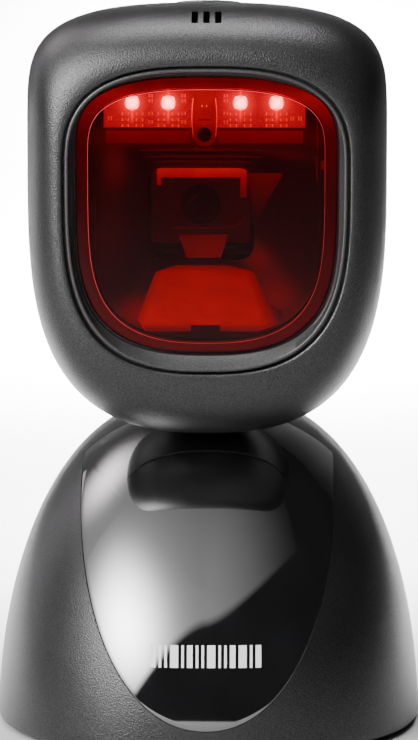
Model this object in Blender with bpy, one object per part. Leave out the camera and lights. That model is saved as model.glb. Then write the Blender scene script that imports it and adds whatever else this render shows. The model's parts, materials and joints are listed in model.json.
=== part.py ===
"""Hands-free presentation barcode scanner: a tilting imager head on a weighted, bell-shaped stand.

Metres, +Z up. The window looks towards -Y. The origin is on the counter, under the stand's middle.
"""

from dataclasses import dataclass, replace
from math import cos, pi, radians, sin

import bmesh
import bpy
from mathutils import Matrix, Vector

MM = 0.001
GAP = 0.3 * MM  # running clearance between neighbouring pieces

# Stand
BASE_HALF_WIDTH = 43.0 * MM
BASE_HALF_DEPTH = 48.8 * MM
RIM_Z = 1.0 * MM  # the stand's lower rim; the rubber pad reaches down to zero
BELL_HEIGHT = 64.0 * MM
BELL_LEAN = 8.0 * MM  # how far back the top of the bell sits
BELL_POWER = 2.54
OVAL_POWER = 2.5
BASE_WALL = 2.4 * MM
PANEL_THICKNESS = 1.2 * MM
PANEL_HALF_WIDTH = 25.5 * MM
PANEL_WIDEST_Z = 50.0 * MM
PANEL_DROP = 44.8 * MM
PANEL_POWER = 2.1
PANEL_REAR_Y = -4.9 * MM

# Tilt hinge
PIVOT_Y = 8.0 * MM
PIVOT_Z = 54.0 * MM
DRUM_RADIUS = 12.2 * MM
DRUM_HALF_WIDTH = 12.0 * MM
PIN_RADIUS = 2.0 * MM
SLOT_HALF_WIDTH = DRUM_HALF_WIDTH + 0.6 * MM
SLOT_HALF_DEPTH = DRUM_RADIUS + 0.6 * MM

# Head
FACE_Y = -39.0 * MM
WAIST_Y = -24.0 * MM  # where the head is widest
BACK_Y = 18.0 * MM
PARTING_Y = -19.0 * MM
FACE_LAND = 0.5 * MM
HEAD_WALL = 2.2 * MM
LENS_Z = 104.7 * MM

# Button
BUTTON_Y = -7.0 * MM
BUTTON_Z = 145.6 * MM
BUTTON_LEAN = radians(8.6)  # the head's top falls away to the rear by this much

# The lamps and the imager sit a little left of the head's middle
LAMP_SHIFT = -0.45 * MM
IMAGER_SHIFT = -1.6 * MM

PART = "presentation_scanner"
TOOLS = "cutters"  # shapes that only cut or fill others
SCREW_SEGMENTS = 16


@dataclass(frozen=True)
class Outline:
    """A rounded outline in XZ: one superellipse above its widest level and another below."""

    half_width: float
    widest_z: float
    up: float
    down: float
    up_powers: tuple  # (sideways, upwards)
    down_powers: tuple  # (sideways, downwards)

    def grown(self, by):
        return replace(self, half_width=self.half_width + by, up=self.up + by, down=self.down + by)

    def scaled(self, side, up, down):
        return replace(self, half_width=self.half_width * side, up=self.up * up, down=self.down * down)

    def point(self, angle, y):
        across, along = cos(angle), sin(angle)
        side_power, end_power = self.up_powers if along >= 0 else self.down_powers
        reach = self.up if along >= 0 else self.down
        x = self.half_width * signed_power(across, 2 / side_power)
        z = self.widest_z + reach * signed_power(along, 2 / end_power)
        return Vector((x, y, z))

    def ring(self, y, count):
        return [self.point(2 * pi * i / count, y) for i in range(count)]


HEAD = Outline(35.7 * MM, 116.8 * MM, 29.9 * MM, 55.6 * MM, (2.7, 5.6), (2.6, 3.45))
OPENING = Outline(28.2 * MM, 115.5 * MM, 19.9 * MM, 40.7 * MM, (2.8, 2.8), (2.6, 3.6))
WINDOW = Outline(25.7 * MM, 117.0 * MM, 16.1 * MM, 38.3 * MM, (2.6, 3.6), (2.6, 4.6))
TUNNEL_MOUTH = Outline(21.8 * MM, 105.0 * MM, 14.7 * MM, 24.2 * MM, (5, 6), (5, 8))
TUNNEL_THROAT = Outline(10.8 * MM, 103.0 * MM, 9.8 * MM, 9.4 * MM, (6, 6), (6, 8))


def signed_power(value, power):
    return (1 if value >= 0 else -1) * abs(value) ** power


def start_scene():
    for obj in list(bpy.data.objects):
        bpy.data.objects.remove(obj)
    for name in (PART, TOOLS):
        bpy.context.scene.collection.children.link(bpy.data.collections.new(name))


def material(name, colour, roughness, metallic=0.0, alpha=1.0, glow=0.0):
    made = bpy.data.materials.new(name)
    made.use_nodes = True
    shader = made.node_tree.nodes["Principled BSDF"]
    shader.inputs["Base Color"].default_value = (*colour, 1)
    shader.inputs["Roughness"].default_value = roughness
    shader.inputs["Metallic"].default_value = metallic
    shader.inputs["Alpha"].default_value = alpha
    if glow:
        shader.inputs["Emission Color"].default_value = (*colour, 1)
        shader.inputs["Emission Strength"].default_value = glow
    return made


def make_materials():
    return {
        "charcoal": material("charcoal_plastic", (0.05, 0.05, 0.055), 0.5),
        "gloss": material("gloss_black", (0.01, 0.01, 0.011), 0.08),
        "bezel": material("bezel_plastic", (0.035, 0.035, 0.035), 0.45),
        "black": material("black_plastic", (0.015, 0.015, 0.015), 0.6),
        "window": material("red_window", (0.45, 0.01, 0.01), 0.05, alpha=0.35),
        "ramp": material("red_diffuser", (0.55, 0.02, 0.02), 0.5),
        "board": material("circuit_board", (0.02, 0.12, 0.05), 0.4),
        "led": material("led_package", (1.0, 0.35, 0.3), 0.3, glow=4.0),
        "steel": material("steel", (0.6, 0.6, 0.62), 0.3, metallic=1.0),
        "rubber": material("rubber", (0.02, 0.02, 0.02), 0.85),
        "foam": material("foam_seal", (0.03, 0.03, 0.03), 0.95),
        "lens": material("lens_glass", (0.05, 0.05, 0.08), 0.02, alpha=0.5),
        "white": material("white_nylon", (0.8, 0.79, 0.74), 0.5),
    }


def link(obj, collection):
    bpy.data.collections[collection].objects.link(obj)
    return obj


def from_bmesh(name, bm, collection=PART):
    mesh = bpy.data.meshes.new(name)
    bm.to_mesh(mesh)
    bm.free()
    return link(bpy.data.objects.new(name, mesh), collection)


def finish(obj, finish_name, body):
    """Gives a node its material and hangs it from its body's empty."""
    obj.data.materials.append(MATERIALS[finish_name])
    obj.parent = BODIES[body]
    obj.matrix_parent_inverse = BODIES[body].matrix_world.inverted()
    if obj.type == "MESH":
        obj.data.shade_smooth()
        obj.data.set_sharp_from_angle(angle=radians(30))
    return obj


def loft(name, rings, collection=PART, closed_loop=False):
    """A skin over rings of equal count: capped at both ends, or joined end to start."""
    bm = bmesh.new()
    rows = [[bm.verts.new(point) for point in ring] for ring in rings]
    pairs = list(zip(rows, rows[1:]))
    if closed_loop:
        pairs.append((rows[-1], rows[0]))
    else:
        bm.faces.new(rows[0])
        bm.faces.new(rows[-1])
    for first, second in pairs:
        for i in range(len(first)):
            j = (i + 1) % len(first)
            bm.faces.new((first[i], first[j], second[j], second[i]))
    bmesh.ops.recalc_face_normals(bm, faces=bm.faces)
    return from_bmesh(name, bm, collection)


def block(name, low, high, collection=PART):
    """A box between two corners, with its origin at its middle."""
    low, high = Vector(low), Vector(high)
    bm = bmesh.new()
    bmesh.ops.create_cube(bm, size=1, matrix=Matrix.Diagonal((*(high - low), 1)))
    obj = from_bmesh(name, bm, collection)
    obj.location = (low + high) / 2
    return obj


def rod(name, start, end, radius, segments=24, end_radius=None, collection=PART):
    """A round bar from start to end, with its origin at its middle."""
    start, end = Vector(start), Vector(end)
    bm = bmesh.new()
    bmesh.ops.create_cone(
        bm,
        cap_ends=True,
        segments=segments,
        radius1=radius,
        radius2=radius if end_radius is None else end_radius,
        depth=(end - start).length,
    )
    obj = from_bmesh(name, bm, collection)
    obj.rotation_mode = "QUATERNION"
    obj.rotation_quaternion = (end - start).to_track_quat("Z", "Y")
    obj.location = (start + end) / 2
    return obj


def tool_block(name, low, high):
    return block(name, low, high, TOOLS)


def tool_rod(name, start, end, radius, segments=12):
    return rod(name, start, end, radius, segments, collection=TOOLS)


def plate(name, corners, low_y, high_y, collection=PART):
    """A flat outline of (x, z) corners, standing upright between two values of y."""
    return loft(name, [[Vector((x, y, z)) for x, z in corners] for y in (low_y, high_y)], collection)


def oval_plate(name, half_x, half_y, low_z, high_z, collection=PART, count=32):
    rings = []
    for z in (low_z, high_z):
        ring = []
        for i in range(count):
            angle = 2 * pi * i / count
            x = half_x * signed_power(cos(angle), 2 / OVAL_POWER)
            y = half_y * signed_power(sin(angle), 2 / OVAL_POWER)
            ring.append(Vector((x, y, z)))
        rings.append(ring)
    return loft(name, rings, collection)


def boolean(obj, other, operation):
    modifier = obj.modifiers.new(operation.lower(), "BOOLEAN")
    modifier.operation = operation
    modifier.object = other
    other.hide_render = True
    other.display_type = "WIRE"
    return obj


def cut(obj, *cutters):
    for cutter in cutters:
        boolean(obj, cutter, "DIFFERENCE")
    return obj


def join(obj, *pieces):
    for piece in pieces:
        boolean(obj, piece, "UNION")
    return obj


def keep_inside(obj, other):
    return boolean(obj, other, "INTERSECT")


def screw(name, seat, direction, head_radius, head_height, shaft_radius, length, body):
    """A machine screw: direction points from the head's seat along the shaft."""
    seat, direction = Vector(seat), Vector(direction).normalized()
    start, end = seat - direction * head_height / 2, seat + direction * length
    shaft = rod(name, start, end, shaft_radius, SCREW_SEGMENTS)
    top = seat - direction * head_height
    head = rod(name + "_head", top, seat, head_radius * 0.85, SCREW_SEGMENTS, head_radius, TOOLS)
    return finish(join(shaft, head), "steel", body)


# ---------------------------------------------------------------- stand


def bell_ring(z, inset, count):
    """One level of the bell: an oval that narrows and leans back towards the top."""
    level = max(z, 0) / (BELL_HEIGHT - inset)
    narrowing = (1 - level**2) ** (1 / BELL_POWER)
    centre_y = BELL_LEAN * (max(z, 0) / BELL_HEIGHT) ** 2
    ring = []
    for i in range(count):
        angle = 2 * pi * i / count
        x = (BASE_HALF_WIDTH - inset) * narrowing * signed_power(cos(angle), 2 / OVAL_POWER)
        y = (BASE_HALF_DEPTH - inset) * narrowing * signed_power(sin(angle), 2 / OVAL_POWER)
        ring.append(Vector((x, centre_y + y, z)))
    return ring


def bell(name, inset, floor_z, levels=9, count=48, rim_chamfer=0.0, collection=TOOLS):
    """The whole bell as a solid, shrunk by inset. Its flat top lies inside the drum slot."""
    top = radians(80)
    rings = []
    if rim_chamfer:
        rings.append(bell_ring(floor_z, inset + rim_chamfer, count))
        floor_z += rim_chamfer
    for i in range(levels):
        z = max(floor_z, (BELL_HEIGHT - inset) * sin(top * i / (levels - 1)))
        rings.append(bell_ring(floor_z if i == 0 else z, inset, count))
    return loft(name, rings, collection)


def panel_prism(name, clearance, collection=TOOLS):
    """The tongue-shaped front outline, pushed back through the bell to just before the drum slot."""
    half_width = PANEL_HALF_WIDTH - clearance
    corners = []
    steps = 28
    for i in range(steps + 1):
        angle = pi * i / steps
        x = half_width * signed_power(cos(angle), 2 / PANEL_POWER)
        drop = (PANEL_DROP - clearance) * signed_power(sin(angle), 2 / PANEL_POWER)
        corners.append((x, PANEL_WIDEST_Z - drop))
    corners += [(-half_width, BELL_HEIGHT * 1.3), (half_width, BELL_HEIGHT * 1.3)]
    return plate(name, corners, -BASE_HALF_DEPTH * 1.3, PANEL_REAR_Y - clearance, collection)


def drum_slot(name):
    low = (-SLOT_HALF_WIDTH, PIVOT_Y - SLOT_HALF_DEPTH, PIVOT_Z + 2 * MM)
    high = (SLOT_HALF_WIDTH, PIVOT_Y + SLOT_HALF_DEPTH, BELL_HEIGHT + 5 * MM)
    return tool_block(name, low, high)


JACK_HALF_WIDTH = 7.0 * MM
JACK_LOW_Z = 11.2 * MM
JACK_HIGH_Z = 24.2 * MM
JACK_FRONT_Y = 30.0 * MM
JACK_REAR_Y = 46.4 * MM
BOARD_LOW_Z = 9.3 * MM
PAD_HALF_WIDTH = 26.0 * MM
PAD_HALF_DEPTH = 30.0 * MM
PAD_TOP_Z = 1.9 * MM
SCREW_POSTS = [(x * MM, y * MM) for x in (-31.0, 31.0) for y in (-17.0, 20.0)]
POST_TOP_Z = 36.0 * MM
PLATE_TOP_Z = 3.4 * MM
TOWER_SCREW_X = 17.0 * MM


def make_base_housing():
    housing = bell("base_housing", 0, RIM_Z, rim_chamfer=0.7 * MM, collection=PART)
    recess = panel_prism("panel_recess", 0)
    cut(recess, bell("panel_recess_floor", PANEL_THICKNESS + GAP, -5 * MM, levels=8, count=40))
    cavity = bell("base_cavity", BASE_WALL, -5 * MM, levels=10, count=32)
    cut(housing, cavity, recess, drum_slot("drum_slot"))
    gap = 0.4 * MM
    low = (-JACK_HALF_WIDTH - gap, BASE_HALF_DEPTH - 10.8 * MM, JACK_LOW_Z - gap)
    high = (JACK_HALF_WIDTH + gap, BASE_HALF_DEPTH + 6.2 * MM, JACK_HIGH_Z + gap)
    cut(housing, tool_block("jack_window", low, high))
    for i, (x, y) in enumerate(SCREW_POSTS):
        low, high = (x, y, PLATE_TOP_Z + 0.5 * MM), (x, y, POST_TOP_Z)
        join(housing, tool_rod(f"screw_post_{i}", low, high, 3.2 * MM, 16))
        cut(housing, tool_rod(f"screw_pilot_{i}", (x, y, 0), (x, y, 16 * MM), 1.8 * MM))
    return finish(housing, "charcoal", "base")


def make_front_panel():
    panel = bell("front_panel", 0, RIM_Z, collection=PART)
    keep_inside(panel, panel_prism("panel_edge", GAP))
    back = bell("panel_back", PANEL_THICKNESS, -5 * MM, levels=8, count=40)
    cut(panel, back, drum_slot("panel_slot"))
    return finish(panel, "gloss", "base")


def make_base_plate():
    """Closes the stand from below, with a pocket for the pad and posts for the hinge and board."""
    rings = [bell_ring(z, BASE_WALL + 0.9 * MM, 32) for z in (RIM_Z, PLATE_TOP_Z)]
    made = loft("base_plate", rings)
    pocket_x, pocket_y = PAD_HALF_WIDTH + GAP, PAD_HALF_DEPTH + GAP
    cut(made, oval_plate("pad_pocket", pocket_x, pocket_y, -1 * MM, PAD_TOP_Z + GAP, TOOLS))
    for i, (x, y) in enumerate(SCREW_POSTS):
        cut(made, tool_rod(f"plate_hole_{i}", (x, y, -1 * MM), (x, y, 5 * MM), 1.8 * MM))
        cut(made, tool_rod(f"plate_sink_{i}", (x, y, -1 * MM), (x, y, 2.2 * MM), 3.3 * MM, 16))
    for side in (-1, 1):
        x = side * TOWER_SCREW_X
        foot, post_x, post_y = (x, PIVOT_Y, 3 * MM), side * 12 * MM, 36 * MM
        boss = tool_rod(f"tower_boss_{side}", foot, (x, PIVOT_Y, 7.6 * MM), 3.4 * MM, 16)
        pilot = tool_rod(f"tower_pilot_{side}", foot, (x, PIVOT_Y, 9 * MM), 1.8 * MM)
        post_low, post_high = (post_x, post_y, 3 * MM), (post_x, post_y, BOARD_LOW_Z - GAP)
        cut(join(made, boss, tool_rod(f"board_post_{side}", post_low, post_high, 2.4 * MM)), pilot)
    return finish(made, "black", "base")


def make_anti_slip_pad():
    pad = oval_plate("anti_slip_pad", PAD_HALF_WIDTH, PAD_HALF_DEPTH, 0, PAD_TOP_Z)
    return finish(pad, "rubber", "base")


def make_ballast():
    weight = oval_plate("ballast_weight", 27 * MM, 31 * MM, PLATE_TOP_Z + GAP, 7.9 * MM)
    for side in (-1, 1):
        x = side * TOWER_SCREW_X
        low, high = (x, PIVOT_Y, 0), (x, PIVOT_Y, 12 * MM)
        cut(weight, tool_rod(f"ballast_hole_{side}", low, high, 3.9 * MM, 16))
    return finish(weight, "steel", "base")


def make_base_screws():
    up = (0, 0, 1)
    for i, (x, y) in enumerate(SCREW_POSTS):
        seat = (x, y, 1.9 * MM)
        screw(f"base_screw_{i + 1}", seat, up, 2.7 * MM, 0.8 * MM, 1.4 * MM, 12 * MM, "base")


TOWER_TOP_Z = 35.7 * MM
BRACKET_SCREW_X = 9.0 * MM


def make_hinge_tower():
    """The plastic column that lifts the tilt bracket off the ballast."""

    def about_pivot(make, name, half_x, half_y, low_z, high_z):
        low, high = (-half_x, PIVOT_Y - half_y, low_z), (half_x, PIVOT_Y + half_y, high_z)
        return make(name, low, high)

    tower = about_pivot(block, "hinge_tower", 21 * MM, 11 * MM, 8.2 * MM, 10.4 * MM)
    join(tower, about_pivot(tool_block, "tower_column", 13.5 * MM, 7 * MM, 9 * MM, TOWER_TOP_Z))
    cut(tower, about_pivot(tool_block, "tower_hollow", 11 * MM, 4.6 * MM, 5 * MM, 33 * MM))
    for side in (-1, 1):
        for word, x, low_z, high_z in (
            ("foot", side * TOWER_SCREW_X, 5 * MM, 13 * MM),
            ("top", side * BRACKET_SCREW_X, 31 * MM, 40 * MM),
        ):
            low, high = (x, PIVOT_Y, low_z), (x, PIVOT_Y, high_z)
            cut(tower, tool_rod(f"{word}_hole_{side}", low, high, 1.8 * MM))
    finish(tower, "black", "base")
    for side, word in ((-1, "left"), (1, "right")):
        seat = (side * TOWER_SCREW_X, PIVOT_Y, 10.7 * MM)
        screw(f"tower_screw_{word}", seat, (0, 0, -1), 2.9 * MM, 1.6 * MM, 1.5 * MM, 7.2 * MM, "base")


EAR_INNER_X = 13.4 * MM
EAR_OUTER_X = 14.9 * MM


def bracket_ear(name, low_x, high_x):
    """One upright ear of the bracket: straight sides under a round top about the pin."""
    top_radius, half_foot, foot_z, arc_steps = 4.3 * MM, 6 * MM, TOWER_TOP_Z + GAP, 10
    profile = [(PIVOT_Y - half_foot, foot_z), (PIVOT_Y + half_foot, foot_z)]
    for i in range(arc_steps + 1):
        angle = pi * i / arc_steps
        profile.append((PIVOT_Y + top_radius * cos(angle), PIVOT_Z + top_radius * sin(angle)))
    return loft(name, [[Vector((x, y, z)) for y, z in profile] for x in (low_x, high_x)], TOOLS)


def make_tilt_bracket():
    flange_low = (-EAR_OUTER_X, PIVOT_Y - 6 * MM, TOWER_TOP_Z + GAP)
    flange_high = (EAR_OUTER_X, PIVOT_Y + 6 * MM, TOWER_TOP_Z + GAP + 1.5 * MM)
    bracket = block("tilt_bracket", flange_low, flange_high)
    join(bracket, bracket_ear("ear_left", -EAR_OUTER_X, -EAR_INNER_X))
    join(bracket, bracket_ear("ear_right", EAR_INNER_X, EAR_OUTER_X))
    cut(bracket, tool_along_x("bracket_pin_hole", -20 * MM, 20 * MM, PIN_RADIUS + GAP))
    for side, word in ((-1, "left"), (1, "right")):
        x = side * BRACKET_SCREW_X
        low, high = (x, PIVOT_Y, 34 * MM), (x, PIVOT_Y, 40 * MM)
        cut(bracket, tool_rod(f"flange_hole_{side}", low, high, 1.8 * MM))
        seat = (x, PIVOT_Y, TOWER_TOP_Z + 2 * GAP + 1.5 * MM)
        screw(f"bracket_screw_{word}", seat, (0, 0, -1), 2.6 * MM, 1.4 * MM, 1.4 * MM, 7 * MM, "base")
    return finish(bracket, "steel", "base")


def along_x(name, start_x, end_x, radius, segments=24, end_radius=None, collection=PART):
    """A round bar on the tilt axis."""
    start, end = (start_x, PIVOT_Y, PIVOT_Z), (end_x, PIVOT_Y, PIVOT_Z)
    return rod(name, start, end, radius, segments, end_radius, collection)


def tool_along_x(name, start_x, end_x, radius, segments=20):
    return along_x(name, start_x, end_x, radius, segments, collection=TOOLS)


def make_tilt_pin():
    """The shaft, its nut and spring, and the two friction washers that hold the head where it is put."""
    head_x = EAR_OUTER_X + GAP
    pin = along_x("tilt_pin", -head_x - 1 * MM, 18.4 * MM, PIN_RADIUS)
    join(pin, tool_along_x("pin_head", -head_x - 2 * MM, -head_x, 3.2 * MM, 24))
    finish(pin, "steel", "base")

    spring_bore = PIN_RADIUS + GAP
    spring = along_x("disc_spring", head_x, head_x + 0.7 * MM, 3.8 * MM, 24, end_radius=3.2 * MM)
    cut(spring, tool_along_x("spring_bore", 10 * MM, 25 * MM, spring_bore))
    finish(spring, "steel", "base")

    nut_x = head_x + 1.0 * MM
    nut = along_x("tilt_nut", nut_x, nut_x + 1.8 * MM, 2.9 * MM, 6)
    cut(nut, tool_along_x("nut_bore", 10 * MM, 25 * MM, spring_bore))
    finish(nut, "steel", "base")

    for side, word in ((-1, "left"), (1, "right")):
        inner, outer = DRUM_HALF_WIDTH + GAP, EAR_INNER_X - GAP
        washer = along_x(f"friction_washer_{word}", side * inner, side * outer, 5.0 * MM, 24)
        bore_start, bore_end = side * (inner - 2 * MM), side * (outer + 2 * MM)
        cut(washer, tool_along_x(f"washer_bore_{word}", bore_start, bore_end, spring_bore + 0.1 * MM))
        finish(washer, "white", "base")


def make_interface_board():
    board_high = (15 * MM, 41 * MM, JACK_LOW_Z - GAP)
    finish(block("interface_board", (-15 * MM, 24 * MM, BOARD_LOW_Z), board_high), "board", "base")
    low, high = (-JACK_HALF_WIDTH, JACK_FRONT_Y, JACK_LOW_Z), (JACK_HALF_WIDTH, JACK_REAR_Y, JACK_HIGH_Z)
    jack = block("cable_jack", low, high)
    socket = tool_block("jack_socket", (-5.95 * MM, 33 * MM, 13.6 * MM), (5.95 * MM, 50 * MM, 20.4 * MM))
    latch = tool_block("jack_latch", (-2.2 * MM, 36 * MM, 20 * MM), (2.2 * MM, 50 * MM, 22.6 * MM))
    join(socket, latch)
    return finish(cut(jack, socket), "black", "base")


# ---------------------------------------------------------------- head


def head_rings(inset, count):
    """Rings from the face, round the swelling rim to the waist, and back to the rounded rear."""
    face, waist = OPENING.grown(FACE_LAND), HEAD.grown(-inset)
    front_y, back_y = FACE_Y + inset, BACK_Y - inset
    rings = []
    for degrees in (0, 18, 36, 54, 72):
        swell, depth = sin(radians(degrees)), 1 - cos(radians(degrees))
        y = front_y + (WAIST_Y - front_y) * depth
        pairs = zip(face.ring(y, count), waist.ring(y, count))
        rings.append([a.lerp(b, swell) for a, b in pairs])
    for share in (0, 0.16, 0.34, 0.52, 0.68, 0.81, 0.91, 0.97, 0.993):
        side = (1 - share**2.6) ** (1 / 2.2)
        up = (1 - share**2.8) ** (1 / 2.2)
        down = (1 - share**1.6) ** (1 / 2.5)
        rings.append(waist.scaled(side, up, down).ring(WAIST_Y + (back_y - WAIST_Y) * share, count))
    return rings


def head_solid(name, inset, collection=TOOLS, count=48):
    return loft(name, head_rings(inset, count), collection)


def band(name, low_y, high_y):
    """A block as wide as the head, for cutting it across at one depth."""
    return tool_block(name, (-60 * MM, low_y, 40 * MM), (60 * MM, high_y, 170 * MM))


HEAD_SCREWS = [  # x, z, and the y of the counterbore's floor
    (27.0 * MM, 132.0 * MM, -2.0 * MM),
    (27.5 * MM, 82.0 * MM, -8.0 * MM),
]
GRILLE_PITCH = 2.3 * MM
GRILLE_CENTRE = Vector((0, -31.5, 144)) * MM
GRILLE_HALF = Vector((0.64, 6, 1.85)) * MM


def head_bosses(shell, low_y, high_y, radius):
    """Screw bosses on both sides, trimmed to stay inside the shell's outer skin."""
    for i, (x, z, _) in enumerate(HEAD_SCREWS):
        for side in (-1, 1):
            tag = f"{shell.name}_{i}_{side}"
            boss = tool_rod(f"boss_{tag}", (side * x, low_y, z), (side * x, high_y, z), radius, 16)
            keep_inside(boss, head_solid(f"trim_{tag}", 0.8 * MM, count=32))
            join(shell, boss)
            start, end = (side * x, -31 * MM, z), (side * x, 30 * MM, z)
            cut(shell, tool_rod(f"pilot_{tag}", start, end, 1.75 * MM))


def make_front_housing():
    shell = head_solid("front_housing", 0, PART)
    opening = loft("face_opening", [OPENING.ring(y, 48) for y in (-50 * MM, -20 * MM)], TOOLS)
    cut(shell, head_solid("front_core", HEAD_WALL), band("front_trim", PARTING_Y, 60 * MM))
    head_bosses(shell, -37 * MM, PARTING_Y - 0.1 * MM, 2.8 * MM)
    cut(shell, opening)
    for i in (-1, 0, 1):
        slot = tool_block(f"grille_{i}", -GRILLE_HALF, GRILLE_HALF)
        slot.location = GRILLE_CENTRE + Vector((i * GRILLE_PITCH, 0, 0))
        slot.rotation_euler = (radians(-30), 0, 0)
        cut(shell, slot)
    return finish(shell, "charcoal", "head")


NECK_HALF_WIDTH = 11.0 * MM
NECK_HALF_DEPTH = 5.5 * MM
NECK_TOP_Z = 94.0 * MM
NECK_SCREW = (8.0 * MM, -4.0 * MM)
NECK_FLANGE_Z = 86.0 * MM


def neck_ring(grow, z):
    """One level of the stalk: a rounded oblong about the tilt axis."""
    ring = []
    for i in range(32):
        angle = 2 * pi * i / 32
        x = (NECK_HALF_WIDTH + grow) * signed_power(cos(angle), 2 / 5)
        y = (NECK_HALF_DEPTH + grow) * signed_power(sin(angle), 2 / 4)
        ring.append(Vector((x, PIVOT_Y + y, z)))
    return ring


def make_rear_housing():
    shell = head_solid("rear_housing", 0, PART)
    cut(shell, head_solid("rear_core", HEAD_WALL), band("rear_trim", -80 * MM, PARTING_Y + GAP))
    head_bosses(shell, PARTING_Y + GAP + 0.1 * MM, 6 * MM, 4.2 * MM)
    for i, (x, z, floor_y) in enumerate(HEAD_SCREWS):
        for side in (-1, 1):
            floor, end = (side * x, floor_y, z), (side * x, 30 * MM, z)
            cut(shell, tool_rod(f"sink_{i}_{side}", floor, end, 3.1 * MM, 16))
    neck_rings = [neck_ring(0.35 * MM, z) for z in (68 * MM, NECK_TOP_Z + 0.5 * MM)]
    cut(shell, loft("neck_hole", neck_rings, TOOLS))
    x, y = NECK_SCREW
    for side in (-1, 1):
        low, high = (side * x, y, 70 * MM), (side * x, y, NECK_FLANGE_Z - GAP)
        join(shell, tool_rod(f"neck_boss_{side}", low, high, 3 * MM, 16))
        low, high = (side * x, y, 75 * MM), (side * x, y, 90 * MM)
        cut(shell, tool_rod(f"neck_pilot_{side}", low, high, 1.5 * MM))
    seat = oval_plate("button_seat", 7.2 * MM, 5.2 * MM, -0.75 * MM, 4 * MM, TOOLS)
    hole = oval_plate("button_hole", 5.4 * MM, 3.4 * MM, -4 * MM, 4 * MM, TOOLS, 24)
    cut(shell, place_on_button(seat), place_on_button(hole))
    return finish(shell, "charcoal", "head")


def make_neck():
    """The stalk and hinge drum: hollow, so that a lead could pass in front of the pin."""
    flare = [(0.4, 59.0), (0.3, 64.0), (0, 70.0), (0, NECK_TOP_Z / MM)]
    stalk = loft("neck_stalk", [neck_ring(grow * MM, z * MM) for grow, z in flare], TOOLS)
    neck = along_x("neck", -DRUM_HALF_WIDTH, DRUM_HALF_WIDTH, DRUM_RADIUS, 40)
    low, high = (-11.5 * MM, -8 * MM, NECK_FLANGE_Z), (11.5 * MM, 4 * MM, NECK_FLANGE_Z + 2.4 * MM)
    join(neck, stalk, tool_block("neck_flange", low, high))
    cut(neck, tool_along_x("drum_hollow", -5 * MM, 5 * MM, 9 * MM, 24))
    cut(neck, tool_block("drum_mouth", (-5 * MM, -1.5 * MM, 38 * MM), (5 * MM, 9 * MM, 49 * MM)))
    cut(neck, tool_block("stalk_channel", (-3 * MM, 5 * MM, 58 * MM), (3 * MM, 10.5 * MM, 98 * MM)))
    cut(neck, tool_along_x("neck_bore", -15 * MM, 15 * MM, PIN_RADIUS + GAP))
    x, y = NECK_SCREW
    for side, word in ((-1, "left"), (1, "right")):
        low, high = (side * x, y, 84 * MM), (side * x, y, 90 * MM)
        cut(neck, tool_rod(f"flange_hole_{word}", low, high, 1.6 * MM))
        seat = (side * x, y, NECK_FLANGE_Z + 2.4 * MM + GAP)
        screw(f"neck_screw_{word}", seat, (0, 0, -1), 2.3 * MM, 1.4 * MM, 1.2 * MM, 11 * MM, "head")
    return finish(neck, "charcoal", "head")


def swept_ring(name, section, count=48):
    """A closed section of (outline, y) carried round the outline."""
    return loft(name, [outline.ring(y, count) for outline, y in section], closed_loop=True)


def make_bezel_and_window():
    section = [
        (OPENING.grown(-0.4 * MM), -38.4 * MM),
        (OPENING.grown(-0.9 * MM), -38.7 * MM),
        (WINDOW.grown(0.7 * MM), -36.5 * MM),
        (WINDOW.grown(0.4 * MM), -34.5 * MM),
        (WINDOW.grown(-1.9 * MM), -34.5 * MM),
        (WINDOW.grown(-1.9 * MM), -33.4 * MM),
        (OPENING.grown(0.9 * MM), -33.4 * MM),
        (OPENING.grown(0.9 * MM), -36.4 * MM),
        (OPENING.grown(-0.4 * MM), -36.4 * MM),
    ]
    finish(swept_ring("bezel_ring", section), "bezel", "head")

    steps = [(-0.3, -36.2), (0, -35.9), (0, -34.85), (-2.4, -34.85), (-2.6, -33.7)]
    window = loft("scan_window", [WINDOW.grown(grow * MM).ring(y * MM, 48) for grow, y in steps])
    finish(window, "window", "head")

    seal = [(-1.9, -33.1), (0.9, -33.1), (0.9, -32.2), (-1.9, -32.2)]
    gasket = swept_ring("window_gasket", [(WINDOW.grown(grow * MM), y * MM) for grow, y in seal], 40)
    finish(gasket, "foam", "head")


SHROUD_FRONT_Y = -31.9 * MM
SHROUD_SLAB_Y = -26.5 * MM
SHROUD_BACK_Y = -6.0 * MM
SHELF_Z = 122.3 * MM  # top of the bar below the LED board
POCKET_HALF_WIDTH = 20.3 * MM
CLAMP_SCREW_Z = 121.5 * MM


def blend(first, second, share, y, count):
    """A ring between two outlines. It moves over to the imager as it nears the second."""
    shift = Vector((IMAGER_SHIFT * share, 0, 0))
    return [a.lerp(b, share) + shift for a, b in zip(first.ring(y, count), second.ring(y, count))]


def board_outline(inset):
    """The part of the window's outline above the shelf, with upright sides."""
    count, half_width = 40, POCKET_HALF_WIDTH - inset
    arch = [WINDOW.grown(-0.8 * MM - inset).point(pi * i / count, 0) for i in range(1, count)]
    arch = [(p.x, p.z) for p in arch if abs(p.x) < half_width]
    side_z, floor_z = arch[0][1] - 0.5 * MM, SHELF_Z + inset
    right = [(half_width, floor_z), (half_width, side_z)]
    left = [(-half_width, side_z), (-half_width, floor_z)]
    return [(x + LAMP_SHIFT, z) for x, z in right + arch + left]


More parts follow.
